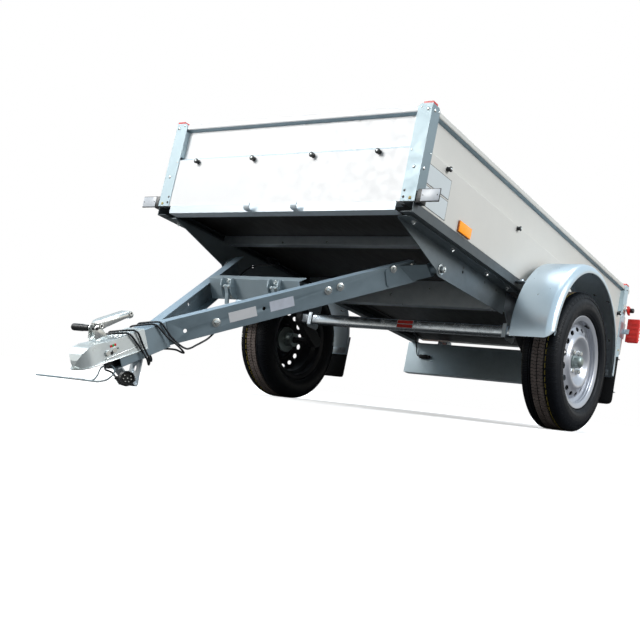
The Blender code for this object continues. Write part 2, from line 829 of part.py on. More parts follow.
def build_hub(side, sign):
    face = wheel_offset - touch
    disc = wheel_offset + rim_sheet
    bore = spindle_radius + pin_gap
    back = -0.030
    cap = disc + 0.036
    profile = [(cap, 0.0005), (cap, 0.012), (cap - 0.003, 0.019), (cap - 0.010, cap_radius - 0.0035),
               (disc + 0.003, cap_radius - 0.003), (face, cap_radius - 0.003), (face, hub_flange_radius),
               (face - hub_flange, hub_flange_radius), (face - hub_flange - 0.006, hub_radius),
               (back, hub_radius), (back, bore), (wheel_offset - 0.018, bore), (wheel_offset - 0.018, 0.0005)]
    if sign < 0:
        profile = [(-x, r) for x, r in reversed(profile)]
    hub = turned("hub_" + side, profile, wheel_axes[side], 20)
    bolts = []
    for i in range(wheel_bolts):
        angle = math.tau * (i + 0.5) / wheel_bolts
        y, z = -bolt_circle * math.sin(angle), bolt_circle * math.cos(angle)
        bolts.append(cylinder("shank", (sign * (face - 0.004), y, z), (sign * (disc + 0.004), y, z),
                              0.0060, wheel_axes[side], 8))
        bolts.append(cylinder("head", (sign * (disc + touch), y, z), (sign * (disc + 0.014), y, z),
                              0.0105, wheel_axes[side], 6))
    combine(hub, bolts)
    finish(hub, (0.72, 0.72, 0.66), 0.35, 0.9)


def build_wheels():
    for side, sign in (("left", 1), ("right", -1)):
        build_rim(side, sign)
        build_tyre(side)
        build_hub(side, sign)


# Mudguards
def build_guard():
    """Pressed arch with a rounded shoulder, a side skirt with a lip, and two stays to the side rail."""
    steps = 20
    section = [(guard_inside, guard_radius - 0.016), (guard_inside, guard_radius)]
    shoulder = 0.030
    section += [(guard_outside - shoulder, guard_radius)]
    for i in range(1, 5):
        a = math.radians(90 - 90 * i / 4)
        section.append((guard_outside - shoulder + shoulder * math.cos(a),
                        guard_radius - shoulder + shoulder * math.sin(a)))
    section.append((guard_outside, guard_lip_radius))
    mesh = bpy.data.meshes.new("mudguard_left")
    work = bmesh.new()
    rows = []
    start = math.pi + guard_front_angle
    end = -guard_rear_angle
    for i in range(steps + 1):
        a = start + (end - start) * i / steps
        rows.append([work.verts.new((x, r * math.cos(a), guard_above_axle + r * math.sin(a)))
                     for x, r in section])
    for i in range(steps):
        for j in range(len(section) - 1):
            work.faces.new((rows[i][j], rows[i][j + 1], rows[i + 1][j + 1], rows[i + 1][j]))
    bmesh.ops.recalc_face_normals(work, faces=work.faces)
    work.to_mesh(mesh)
    work.free()
    guard = bpy.data.objects.new("mudguard_left", mesh)
    parts.objects.link(guard)
    guard.parent = bed
    shell = guard.modifiers.new("Sheet", "SOLIDIFY")
    shell.thickness = guard_sheet
    shell.offset = -1.0
    shell.use_even_offset = True
    rail_z = floor_z - side_rail_depth / 2
    rail_out = half_width - post_sheet
    reach = math.sqrt((guard_radius - 0.008) ** 2 - (rail_z - guard_above_axle) ** 2)
    stays = []
    for y in (-reach, reach):
        stays.append(box("stay", (rail_out, y - 0.016, rail_z - 0.0015),
                         (guard_inside + 0.001, y + 0.016, rail_z + 0.0015), bed))
    end_y = guard_radius * math.cos(guard_rear_angle)
    pad = box("flap_pad", (guard_inside + 0.006, end_y - 0.0025, guard_above_axle - 0.006),
              (guard_inside + flap_width - 0.030, end_y + 0.0030, guard_above_axle + 0.040), bed)
    combine(guard, stays + [pad])
    smooth(guard, 45)
    finish(guard, (0.70, 0.74, 0.77), 0.33, 0.9)
    other = mirrored(guard, "mudguard_right", bed)
    smooth(other, 45)
    finish(other, (0.70, 0.74, 0.77), 0.33, 0.9)


def build_flap():
    """Mudflap behind the wheel, on the mudguard's rear edge, with its clamping strip."""
    start = guard_radius * math.cos(guard_rear_angle) + 0.0030 + touch
    top = guard_above_axle + 0.079
    inner = guard_inside + 0.004
    outline = [(inner, top), (inner, top - flap_height + 0.008), (inner + 0.008, top - flap_height),
               (inner + flap_width - 0.016, top - flap_height),
               (inner + flap_width, top - flap_height + 0.016),
               (inner + flap_width, top)]
    flap = outline_solid("mudflap_left", [outline], "front", start, start + flap_thickness, bed)
    strip = box("strip", (inner + 0.002, start + flap_thickness - 0.001, top - 0.030),
                (inner + flap_width - 0.002, start + flap_thickness + 0.002, top - 0.002), bed)
    combine(flap, [strip])
    finish(flap, (0.012, 0.012, 0.013), 0.6, 0.0)
    finish(mirrored(flap, "mudflap_right", bed), (0.012, 0.012, 0.013), 0.6, 0.0)


# Tailgate
def build_tailgate():
    """Stepped board the full width of the bed, on two bottom hinges."""
    shift = hinge_drop - floor_z
    outer = gate_thickness - hinge_radius
    section = [(outer + a, b + shift) for a, b in board_profile(0.0, gate_thickness)]
    half = half_width - gate_side_gap
    gate = outline_solid("tailgate", [section], "side", -half, half, gate_axes)
    knuckles = []
    bores = []
    for middle in (-hinge_spacing / 2, hinge_spacing / 2):
        start = middle - knuckle_length / 2
        end = middle + knuckle_length / 2
        knuckles.append(cylinder("knuckle", (start, 0, 0), (end, 0, 0), hinge_radius, gate_axes, 16))
        knuckles.append(box("leaf", (start, -hinge_radius, 0),
                            (end, -hinge_radius + 0.003, hinge_drop + 0.004), gate_axes))
        bores.append(cylinder("bore", (start - 0.01, 0, 0), (end + 0.01, 0, 0), pin_radius + pin_gap,
                              gate_axes, 16))
    combine(gate, knuckles)
    cut(gate, *bores)
    finish(gate, bright, 0.45, 0.55)


def build_gate_latch():
    """Turning latch on the post's outside, its lever along the tailgate's end."""
    out = half_width + touch
    y = rear_y - 0.030
    z = floor_z + 0.215
    base = box("gate_latch_left", (out, y - 0.018, z - 0.022), (out + 0.004, y + 0.018, z + 0.022), bed)
    boss = cylinder("boss", (out + 0.003, y, z), (out + 0.016, y, z), 0.011, bed, 16)
    lever = box("lever", (out + 0.010, y - 0.004, z - 0.008), (out + 0.017, y + 0.052, z + 0.008), bed)
    knob = cylinder("knob", (out + 0.012, y + 0.044, z), (out + 0.036, y + 0.044, z), 0.010, bed, 16)
    combine(base, [boss, lever, knob])
    finish(base, (0.70, 0.03, 0.02), 0.4, 0.0)
    finish(mirrored(base, "gate_latch_right", bed), (0.70, 0.03, 0.02), 0.4, 0.0)


def build_marker_lamp():
    """Side marker lamp on a bracket behind the rear post."""
    out = half_width + touch
    z = floor_z + 0.120
    y = rear_y - 0.020
    arm = box("marker_lamp_left", (out, y - 0.028, z - 0.045), (out + 0.003, y + 0.036, z + 0.030), bed)
    foot = box("foot", (out, y + 0.033, z - 0.045), (out + 0.060, y + 0.036, z + 0.030), bed)
    lamp = box("lamp", (out + 0.012, y + 0.035, z - 0.058), (out + 0.072, y + 0.066, z + 0.058), bed)
    combine(arm, [foot, lamp])
    finish(arm, (0.75, 0.04, 0.03), 0.2, 0.0)
    finish(mirrored(arm, "marker_lamp_right", bed), (0.75, 0.04, 0.03), 0.2, 0.0)


def build_front_marker():
    """White reflector plate that sticks out beside the front post, on its bracket."""
    out = half_width + touch
    bracket = box("front_marker_left", (out, front_y + 0.003, floor_z - 0.006),
                  (out + 0.022, front_y + 0.034, floor_z + 0.034), bed)
    plate = box("plate", (out + 0.004, front_y, floor_z - 0.004),
                (out + 0.088, front_y + 0.004, floor_z + 0.040), bed)
    combine(bracket, [plate])
    finish(bracket, (0.85, 0.87, 0.88), 0.3, 0.0)
    finish(mirrored(bracket, "front_marker_right", bed), (0.85, 0.87, 0.88), 0.3, 0.0)
    side = box("side_reflector_left", (half_width - post_sheet, front_y + 0.290, floor_z + 0.004),
               (out + 0.006, front_y + 0.378, floor_z + 0.044), bed)
    finish(side, (0.95, 0.35, 0.02), 0.25, 0.0)
    finish(mirrored(side, "side_reflector_right", bed), (0.95, 0.35, 0.02), 0.25, 0.0)


# Drawbar
grey = (0.30, 0.33, 0.36)


def along_arm(piece):
    """Turns a piece that was made along Y so that it follows the left arm's web."""
    piece.data.transform(Matrix.Translation((arm_spread, 0, 0)) @ Matrix.Rotation(-arm_turn, 4, "Z"))
    return piece


def build_lug():
    """Plate on an arm's web, folded out along a slanting line to a face square to the pivot."""
    half = 0.032
    turn = Matrix.Rotation(-arm_turn, 4, "Z")

    def on_web(along, height):
        return Vector((arm_spread, 0, 0)) + turn @ Vector((lug_sheet - 0.0005, along, height))

    low_fold, high_fold = on_web(-0.052, -half), on_web(-0.100, half)
    high_end = Vector((lug_outside, -0.031, 0.024))
    square = (low_fold - high_fold).cross(high_end - high_fold)
    shift = Vector((lug_outside - high_fold.x, 0, -0.024 - high_fold.z))
    low_end = Vector((lug_outside, high_fold.y - square.dot(shift) / square.y, -0.024))
    front = [on_web(-0.156, -half + 0.008), on_web(-0.148, -half), low_fold, high_fold,
             on_web(-0.148, half), on_web(-0.156, half - 0.008)]
    end = [low_end] + [Vector((lug_outside, a, b)) for a,
                       b in arc((0, 0), lug_radius, -100, 90, 9)] + [high_end]
    return folded_sheet("lug", [front, [low_fold, low_end, high_end, high_fold], end], lug_sheet, drawbar)


def build_drawbar_arm():
    """Folded channel that opens inward, with the lug and bush at its rear end."""
    half = arm_depth / 2
    section = [(0, half), (-arm_flange, half), (-arm_flange, half - arm_sheet),
               (-arm_sheet, half - arm_sheet),
               (-arm_sheet, arm_sheet - half), (-arm_flange, arm_sheet - half), (-arm_flange, -half),
               (0, -half)]
    length = arm_front / math.cos(arm_turn) + 0.05
    arm = along_arm(outline_solid("drawbar_arm_left", [section], "front", -length, -0.034, drawbar))
    far = 2.0
    ahead = box("ahead", (-1, -far, -1), (1, -arm_front, 1), drawbar, cutters)
    beyond = box("beyond", (-1, -far, -1), (touch / 2, 1, 1), drawbar, cutters)
    cut(arm, ahead, beyond)
    end = plate_outside - plate_thickness - touch
    bush = cylinder("bush", (lug_outside - 0.001, 0, 0), (end, 0, 0), bush_radius, drawbar)
    combine(arm, [build_lug(), bush])
    cut(arm, cylinder("bore", (lug_outside - 0.02, 0, 0), (end + 0.02, 0, 0), pivot_bolt_radius + pin_gap,
                      drawbar, 16, cutters))
    finish(arm, grey, 0.42, 0.8)
    finish(mirrored(arm, "drawbar_arm_right", drawbar), grey, 0.42, 0.8)


def build_cross_member():
    """Channel between the arms, with the two latches for the hooks of the bed."""
    section = [(-cross_from_pivot + a, cross_top + b)
               for a, b in channel(cross_width, cross_top - cross_bottom, arm_sheet)]
    member = outline_solid("drawbar_cross_member", [section], "side", -cross_half_length,
                           cross_half_length, drawbar)
    face = -cross_from_pivot
    pieces = []
    for middle in (hook_spacing / 2, -hook_spacing / 2):
        pieces.append(box("base", (middle - 0.023, face - 0.003, -0.016),
                          (middle + 0.023, face + 0.001, cross_top + 0.004), drawbar))
        cheek = [(face - 0.001, -0.016), (face - 0.012, -0.016), (face - 0.026, 0.004), (face - 0.026, 0.038),
                 (face - 0.014, 0.058), (face - 0.001, 0.058)]
        for low in (middle - 0.023, middle + 0.020):
            pieces.append(outline_solid("cheek", [cheek], "side", low, low + 0.003, drawbar))
        pieces.append(cylinder("pin", (middle - 0.026, face - 0.016, 0.030),
                               (middle + 0.026, face - 0.016, 0.030),
                               0.004, drawbar, 12))
        lever = [(face - 0.008, 0.036), (face - 0.023, 0.036), (face - 0.025, 0.010), (face - 0.036, -0.026),
                 (face - 0.030, -0.028), (face - 0.016, 0.008)]
        pieces.append(outline_solid("lever", [lever], "side", middle - 0.007, middle + 0.007, drawbar))
    combine(member, pieces)
    finish(member, (0.62, 0.66, 0.69))


def build_nose():
    """Square nose tube between the arms and the coupling, and the foot below it."""
    outer = [(-nose_half_width, nose_bottom), (nose_half_width, nose_bottom), (nose_half_width, nose_top),
             (-nose_half_width, nose_top)]
    wall = arm_sheet
    inner = [(-nose_half_width + wall, nose_bottom + wall), (nose_half_width - wall, nose_bottom + wall),
             (nose_half_width - wall, nose_top - wall), (-nose_half_width + wall, nose_top - wall)]
    start = -arm_front - touch - nose_length
    nose = outline_solid("nose_tube", [outer, inner], "front", start, -arm_front - touch, drawbar)
    finish(nose, grey, 0.42, 0.8)
    top = nose_bottom - touch
    strip = 0.005
    ahead = -foot_to_pivot - 0.040
    behind = -foot_to_pivot + 0.044
    bend = (-foot_to_pivot, nose_bottom - foot_drop + foot_bend)
    down = 270 - math.degrees(drawbar_slope)
    foot = ([(ahead - 0.012, top), (ahead - 0.012, top - strip), (ahead, top - strip)]
            + arc(bend, foot_bend, down - 30, down + 75, 7)
            + [(behind, top - strip), (behind + 0.014, top - strip), (behind + 0.014, top),
               (behind - 0.003, top)]
            + arc(bend, foot_bend - strip, down + 60, down - 15, 3) + [(ahead + 0.003, top)])
    stand = outline_solid("support_foot", [foot], "side", -foot_width / 2, foot_width / 2, drawbar)
    finish(stand)


def build_coupling():
    """Pressed ball coupling clamped over the nose tube, with its lever and lock."""
    tip = -coupling_reach
    ball_y = tip + 0.0375
    back = -arm_front - touch - 0.090
    top = nose_top + 0.0045
    side = [(back, -0.018), (ball_y - 0.020, -0.008), (tip + 0.006, -0.006), (tip, 0.006),
            (tip + 0.003, 0.024),
            (tip + 0.014, 0.040), (tip + 0.034, coupling_height - 0.002),
            (ball_y + 0.024, coupling_height - 0.001),
            (ball_y + 0.070, top + 0.002), (back, top)]
    body = outline_solid("coupling_head", [side], "side", -0.05, 0.05, drawbar)
    half = nose_half_width + 0.0040
    plan_side = [(half, back + 0.001), (half, ball_y + 0.075), (0.031, ball_y + 0.038)]
    round_nose = arc((0, ball_y), 0.0375, 20, -90, 10)
    right = plan_side + round_nose
    plan = right + [(-x, y) for x, y in reversed(right[:-1])]
    shape = outline_solid("plan", [plan], "top", -0.1, 0.1, drawbar)
    combine(body, [shape], "INTERSECT")
    room = nose_half_width + touch
    sleeve = box("sleeve", (-room, -arm_front - nose_length - 2 * touch, -0.1),
                 (room, back + 0.05, nose_top + touch), drawbar, cutters)
    socket = cylinder("socket", (0, ball_y, -0.05), (0, ball_y, 0.014), ball_radius + 0.001, drawbar, 24,
                      cutters)
    cut(body, sleeve, socket)
    finish(body, (0.78, 0.79, 0.76), 0.33, 0.9)
    root = ball_y + 0.060
    seat = coupling_height + touch
    slope_start, slope_end = ball_y + 0.024, ball_y + 0.070
    fall = (coupling_height - 0.003 - top) / (slope_end - slope_start)
    low = [(y, coupling_height - 0.001 - fall * (y - slope_start) + touch) for y in (root - 0.016, slope_end)]
    cheek = low + [(root + 0.024, seat + 0.026), (root + 0.135, seat + 0.032),
                   (root + 0.135, seat + 0.048), (root, seat + 0.054), (root - 0.018, seat + 0.046)]
    lever = outline_solid("coupling_lever", [cheek], "side", -0.0175, 0.0175, drawbar)
    hollow = box("hollow", (-0.0150, root - 0.10, seat - 0.02), (0.0150, root + 0.2, seat + 0.043), drawbar,
                 cutters)
    cut(lever, hollow)
    combine(lever, [cylinder("lock", (-0.0165, root - 0.004, seat + 0.034),
                             (-0.0850, root - 0.004, seat + 0.034), 0.0105, drawbar)])
    finish(lever, (0.78, 0.79, 0.76), 0.33, 0.9)


# Cable from the plug to the rear lamps, and the safety wire
pivot_cable_x = -0.300          # where the cable crosses from the drawbar to the bed, on the pivot's line
cable_beam_hole = (-0.470, floor_z - 0.030)
connector_radius = 0.0115
connector_y = rear_y - rear_beam_width - gate_swing - touch - connector_radius
connector_z = floor_z - 0.112


def ground_point(x, y, z):
    """A point given from the floor below the axle, in the drawbar's own axes."""
    bpy.context.view_layer.update()
    return drawbar.matrix_world.inverted() @ Vector((x, y, z))


def build_bed_cable():
    """Loom from the pivot along the right chassis plate and the floor to the rear lamps' connector."""
    under = floor_z - cable_diameter / 2 - 4 * touch
    route = [(pivot_cable_x + touch, pivot_y, pivot_z), (-0.282, pivot_y, pivot_z),
             (-0.263, pivot_y + 0.010, pivot_z + 0.004),
             (-0.262, pivot_y + 0.040, pivot_z + 0.018), (-0.300, pivot_y + 0.075, pivot_z + 0.045),
             (-0.370, pivot_y + 0.115, pivot_z + 0.068), (-0.440, pivot_y + 0.160, pivot_z + 0.082),
             (-0.478, pivot_y + 0.225, pivot_z + 0.085), (-0.484, pivot_y + 0.340, pivot_z + 0.085),
             (-0.480, front_y + beam_from_front - 0.090, floor_z - 0.030),
             (cable_beam_hole[0], front_y + beam_from_front, cable_beam_hole[1]),
             (-0.460, front_y + 0.960, floor_z - 0.018), (-0.455, front_y + 1.060, under),
             (-0.458, front_y + 1.350, under), (-0.466, front_y + 1.650, under),
             (-0.490, front_y + 1.800, under - 0.002),
             (-0.512, connector_y - 0.055, floor_z - 0.018), (-0.5210, connector_y - 0.020, floor_z - 0.046),
             (-0.5212, connector_y - 0.004, floor_z - 0.072), (-0.5205, connector_y, connector_z + 0.0240),
             (-0.5135, connector_y, connector_z + 0.0071), (-0.5040, connector_y, connector_z + 0.0012),
             (-0.4953, connector_y, connector_z)]
    finish(tube("bed_cable", route, cable_diameter, bed), (0.02, 0.02, 0.02), 0.5, 0.0)
    connector = cylinder("lamp_connector", (-0.495, connector_y, connector_z),
                         (-0.450, connector_y, connector_z),
                         connector_radius, bed, 12)
    nut = cylinder("nut", (-0.451, connector_y, connector_z), (-0.435, connector_y, connector_z),
                   connector_radius - 0.003, bed, 12)
    combine(connector, [nut])
    finish(connector, (0.02, 0.02, 0.02), 0.5, 0.0)


def build_drawbar_cable():
    """Loom from the pivot through the right arm, the cross member and the left arm."""
    seat = arm_sheet + cable_diameter / 2 + touch
    low = seat - arm_depth / 2
    inside = cross_bottom + seat
    across = cross_width / 2 - cross_from_pivot
    route = [(pivot_cable_x, 0, 0), (-0.318, 0, 0), (-0.336, -0.006, -0.001), (-0.348, -0.024, -0.004),
             (-0.352, -0.050, -0.009), (-0.344, -0.100, -0.020), (-0.325, -0.160, -0.028),
             (-0.290, -0.240, low + 0.0008),
             (-0.256, -0.315, -0.0295), (-0.233, -0.350, -0.020), (-0.210, -0.376, inside + 0.0010),
             (-0.186, across, inside),
             (-0.090, across, inside), (0.0, across, inside), (0.090, across, inside),
             (0.188, across, inside),
             (0.207, -0.390, inside + 0.0012), (0.219, -0.415, -0.0225), (0.208, -0.450, -0.030),
             (0.170, -0.530, low),
             (0.130, -0.605, low), (0.106, -0.634, low), (0.083, -0.656, low + 0.001),
             (0.067, -0.676, -0.0385),
             (0.066, -0.700, -0.048), (0.068, -0.725, -0.0535), (0.067, -0.750, -0.0565), wrap_start]
    finish(tube("drawbar_cable", route, cable_diameter, drawbar), (0.02, 0.02, 0.02), 0.5, 0.0)


wrap_start = (0.064, -0.772, -0.059)
wrap_end = (-0.012, -1.0545, -0.052)


def over_edge(x, z, first, last):
    """Three points of a cable bent over an edge at (x, z), from the side to the top or underside."""
    right, up = math.copysign(1, x), math.copysign(1, z)
    return [(x + 0.0060 * right, first, z - 0.0065 * up),
            (x + 0.0024 * right, (first + last) / 2, z + 0.0024 * up),
            (x - 0.0065 * right, last, z + 0.0060 * up)]


def build_cable_wraps():
    """Four turns of the cable round the nose, the slack hanging below on the left."""
    side, head_side, head_top = nose_half_width, 0.0367, 0.0440
    route = ([(0.06395, -0.7723, -0.05904), (0.061, -0.790, -0.0615), (0.057, -0.806, -0.060),
              (0.050, -0.822, -0.045),
              (0.0405, -0.845, -0.008)]
             + over_edge(side, nose_top, -0.8635, -0.8715) + over_edge(-side, nose_top, -0.899, -0.893)[::-1]
             + [(-0.0385, -0.893, 0.0)] + over_edge(-side, nose_bottom, -0.880, -0.868)
             + [(0.0, -0.846, -0.0510), (0.030, -0.826, -0.0585), (0.047, -0.819, -0.0685),
                (0.0605, -0.8235, -0.0665), (0.0645, -0.836, -0.050), (0.0575, -0.849, -0.028),
                (0.0445, -0.863, -0.004)]
             + over_edge(side, nose_top, -0.882, -0.8955) + over_edge(-side, nose_top, -0.9285, -0.9225)[::-1]
             + [(-0.0385, -0.9215, 0.003)] + over_edge(-side, nose_bottom, -0.911, -0.902)
             + [(0.0, -0.906, -0.0510), (0.029, -0.925, -0.053), (0.043, -0.940, -0.056),
                (0.0450, -0.949, -0.036),
                (0.0415, -0.957, 0.0)]
             + over_edge(head_side, head_top, -0.966, -0.9775) + over_edge(-head_side, head_top, -1.002,
                                                                           -1.003)[::-1]
             + [(-0.0415, -0.990, 0.003)] + over_edge(-side, nose_bottom, -0.956, -0.930)
             + [(0.0, -0.922, -0.0525), (0.028, -0.934, -0.061), (0.041, -0.950, -0.064),
                (0.0475, -0.957, -0.045),
                (0.0440, -0.964, -0.020), (0.0415, -0.976, 0.008)]
             + over_edge(head_side, head_top, -0.992, -1.0045) + over_edge(-head_side, head_top, -1.031,
                                                                           -1.029)[::-1]
             + [(-0.0415, -1.031, 0.010), (-0.0405, -1.034, -0.020), (-0.0370, -1.043, -0.041),
                (-0.027, -1.052, -0.050), wrap_end])
    finish(tube("cable_wraps", route, cable_diameter, drawbar), (0.02, 0.02, 0.02), 0.5, 0.0)


plug_tail = (0.1070, -1.6888, 0.0184)
plug_turn = math.radians(-35)
plug_lift = math.radians(3.2)


def build_cable_end():
    """Free end of the cable: from below the nose down to the floor, round to the plug."""
    start = drawbar.matrix_world @ (Vector(wrap_end) + Vector((1.8 * touch, 0, 0)))
    x, y, z = start
    free = [(x, y, z), (x + 0.016, y, z - 0.0040), (x + 0.032, y - 0.0015, z - 0.0130),
            (x + 0.047, y - 0.0045, z - 0.0235), (x + 0.061, y - 0.0095, z - 0.0303),
            (x + 0.0745, y - 0.0165, 0.0042),
            (x + 0.0870, y - 0.0245, 0.0070), (x + 0.0985, y - 0.0322, 0.0125)]
    heading = Vector((math.cos(plug_turn) * math.cos(plug_lift), math.sin(plug_turn) * math.cos(plug_lift),
                      math.sin(plug_lift)))
    tail = Vector(plug_tail)
    free += [tuple(tail - 0.012 * heading), tuple(tail - touch * heading)]
    finish(tube("cable_end", [ground_point(*point) for point in free], cable_diameter, drawbar),
           (0.02, 0.02, 0.02), 0.5, 0.0)
    profile = [(0.0, 0.0005), (0.0, 0.0085), (0.003, 0.0130), (0.019, 0.0140), (0.020, 0.0160),
               (0.027, 0.0190),
               (0.060, 0.0200), (0.061, plug_radius), (0.067, plug_radius), (0.068, 0.0195),
               (plug_length, 0.0190),
               (plug_length, 0.0165), (plug_length - 0.018, 0.0160), (plug_length - 0.018, 0.0005)]
    plug = turned("plug", profile, None, 20)
    wings = []
    for sign in (1, -1):
        shape = [(0.026, sign * 0.016), (0.050, sign * 0.017), (0.046, sign * 0.0275), (0.040, sign * 0.0285)]
        wings.append(outline_solid("wing", [shape], "top", -0.005, 0.005, None))
    combine(plug, wings)
    plug.parent = drawbar
    place = (Matrix.Translation(tail) @ Matrix.Rotation(plug_turn, 4, "Z") @ Matrix.Rotation(-plug_lift, 4,
                                                                                             "Y"))
    plug.data.transform(drawbar.matrix_world.inverted() @ place)
    finish(plug, (0.02, 0.02, 0.02), 0.45, 0.0)


def build_safety_wire():
    """Safety wire through the anchor in the nose's mouth, down to its ferrule and loop on the floor."""
    mouth = -arm_front - touch - nose_length
    low = nose_bottom + arm_sheet + touch
    hole = (mouth - 0.0195, low + 0.0067)
    anchor = box("wire_anchor", (-anchor_half_width, mouth - 0.0275, low),
                 (anchor_half_width, mouth + 0.030, low + 0.020),
                 drawbar)
    cut(anchor, cylinder("hole", (-0.02, *hole), (0.02, *hole), wire_diameter / 2 + 0.0008, drawbar, 12,
                         cutters))
    finish(anchor, (0.02, 0.02, 0.02), 0.5, 0.0)
    x, y, z = drawbar.matrix_world @ Vector((0, *hole))
    rest = wire_diameter / 2 + touch
    along = Vector((-0.93, -0.3676, 0))
    side = Vector((-0.3676, 0.93, 0)) * (wire_diameter / 2 + touch)
    collar = Vector((x - 0.064, y - 0.028, rest))
    near = collar - side
    far = collar + side
    strands = [tuple(far), tuple(far - 0.012 * along), (-0.0400, y - 0.014, 0.0060),
               (-0.0335, y - 0.007, 0.020),
               (-0.0300, y - 0.002, 0.040), (-0.0240, y, z - 0.0052), (-0.011, y, z), (0.0, y, z),
               (0.011, y, z),
               (0.0240, y, z - 0.0052), (0.0295, y - 0.001, z - 0.018), (0.0240, y - 0.005, 0.022),
               (0.0110, y - 0.011, 0.0100), (-0.0080, y - 0.0175, 0.0040), (-0.0280, y - 0.0225, rest),
               tuple(near - 0.012 * along), tuple(near)]
    finish(tube("safety_wire", [ground_point(*point) for point in strands], wire_diameter, drawbar),
           (0.60, 0.68, 0.72), 0.4, 0.2)
    turn = math.atan2(along.y, along.x)
    half = wire_diameter + 2 * touch + 0.0008
    sleeve = box("safety_wire_ferrule", (0, -half, -0.0024), (ferrule_length, half, 0.0030), None)
    rings = [box("ring", (start, -half - 0.0008, -0.0025), (start + 0.007, half + 0.0008, 0.0036), None)
             for start in (-0.0001, ferrule_length - 0.0069)]
    combine(sleeve, rings)
    place = Matrix.Translation(collar + touch * along) @ Matrix.Rotation(turn, 4, "Z")
    sleeve.data.transform(drawbar.matrix_world.inverted() @ place)
    sleeve.parent = drawbar
    finish(sleeve, (0.66, 0.70, 0.78), 0.35, 0.5)
    begin = collar + (ferrule_length + 3 * touch) * along
    across = side.normalized()
    loop = [begin + side, begin + 0.012 * along + 1.3 * side, begin + 0.040 * along + 0.0155 * across,
            begin + 0.072 * along + 0.0235 * across, begin + 0.094 * along + 0.0185 * across,
            begin + 0.105 * along + 0.004 * across, begin + 0.100 * along - 0.014 * across,
            begin + 0.080 * along - 0.021 * across, begin + 0.045 * along - 0.0145 * across,
            begin + 0.012 * along - 1.3 * side, begin - side]
    finish(tube("safety_wire_loop", [ground_point(*point) for point in loop], wire_diameter, drawbar),
           (0.60, 0.68, 0.72), 0.4, 0.2)


def centre_length():
    """Moves the trailer along Y so that the origin is below the middle of its length."""
    bpy.context.view_layer.update()
    reach = [(piece.matrix_world @ vertex.co).y for piece in parts.objects if piece.type == "MESH"
             for vertex in piece.data.vertices]
    middle = (min(reach) + max(reach)) / 2
    for axes in (bed, drawbar, *wheel_axes.values()):
        axes.location.y -= middle


def build():
    build_boards()
    build_floor()
    build_front_post()
    build_rear_post()
    build_sill()
    build_side_rail()
    build_chassis_plate()
    build_cross_beam()
    build_rear_beam()
    build_axle()
    build_axle_bracket()
    build_suspension_arm()
    build_wheels()
    build_guard()
    build_flap()
    build_tailgate()
    build_gate_latch()
    build_marker_lamp()
    build_front_marker()
    build_drawbar_arm()
    build_cross_member()
    build_nose()
    build_coupling()
    build_bed_cable()
    build_drawbar_cable()
    build_cable_wraps()
    build_cable_end()
    build_safety_wire()
    centre_length()


build()
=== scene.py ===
import json
import math

import bmesh
import bpy
from mathutils import Matrix, Vector, geometry


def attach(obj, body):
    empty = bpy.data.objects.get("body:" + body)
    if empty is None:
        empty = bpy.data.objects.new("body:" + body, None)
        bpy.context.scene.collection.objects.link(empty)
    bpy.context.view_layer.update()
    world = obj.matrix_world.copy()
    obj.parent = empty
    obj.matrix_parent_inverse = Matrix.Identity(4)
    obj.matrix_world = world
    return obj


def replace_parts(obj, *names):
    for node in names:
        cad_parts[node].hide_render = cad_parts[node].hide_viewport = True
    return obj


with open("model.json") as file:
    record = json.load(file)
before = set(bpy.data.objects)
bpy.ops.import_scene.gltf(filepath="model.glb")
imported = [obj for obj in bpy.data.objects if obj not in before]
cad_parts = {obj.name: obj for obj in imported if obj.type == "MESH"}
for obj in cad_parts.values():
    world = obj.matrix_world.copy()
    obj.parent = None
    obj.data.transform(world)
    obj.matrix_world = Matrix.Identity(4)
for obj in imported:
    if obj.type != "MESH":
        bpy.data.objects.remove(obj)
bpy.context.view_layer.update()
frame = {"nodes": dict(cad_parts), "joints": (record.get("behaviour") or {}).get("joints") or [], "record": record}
nodes = frame["nodes"]
joints = {joint["name"]: joint for joint in frame["joints"]}
slots = {part["node"]: part["material_slot"] for part in frame["record"]["subparts"]}
bodyOf = {name: body for body, names in frame["record"]["behaviour"]["bodies"].items() for name in names}
print("frame loaded:", len(nodes), "nodes")

# Axes of the bed, the drawbar and the wheels, from the joints' places
axle = Vector((0, *joints["wheel_left_spin"]["pos_m"][1:]))
pivot = Vector(joints["tip_hinge"]["pos_m"])
pivotInBed = (-0.726, 0.137)  # from the axle, along the bed's own y and z
bedTilt = math.atan2(pivot.z - axle.z, pivot.y - axle.y) - math.atan2(pivotInBed[1], pivotInBed[0])
hingeAngle = math.radians(32)
bedAxes = Matrix.Translation(axle) @ Matrix.Rotation(bedTilt, 4, "X")
barAxes = Matrix.Translation(pivot) @ Matrix.Rotation(hingeAngle + bedTilt, 4, "X")
halfTrack = joints["wheel_left_spin"]["pos_m"][0]
flip = Matrix.Diagonal((-1, 1, 1, 1))
sides = (("left", 1), ("right", -1))

# Measures of the frame, in the bed's and the drawbar's own axes
frontY, floorZ = -1.073, 0.252
halfWidth, boardOutside, postOutside = 0.572, 0.5692, 0.5723
capBase = 0.5862
stepZ = floorZ + 0.184
plateOutside = 0.5
webHalf, webTaper = 0.43, 0.47


def turnedAxes(axes, sign):
    return axes if sign > 0 else axes @ flip


# Camera: the photograph's, turned about the axle with the parked trailer
cameraFit = {
    "place": (2.18498, -3.50002, 0.77765),   # from the floor below the axle, in the photograph's stance
    "yaw": 33.1025, "pitch": -6.7352,        # degrees
    "focalPixels": 958.057, "centre": (396.368, 345.459), "frame": 640,
    "bedTiltThere": 19.97,
}


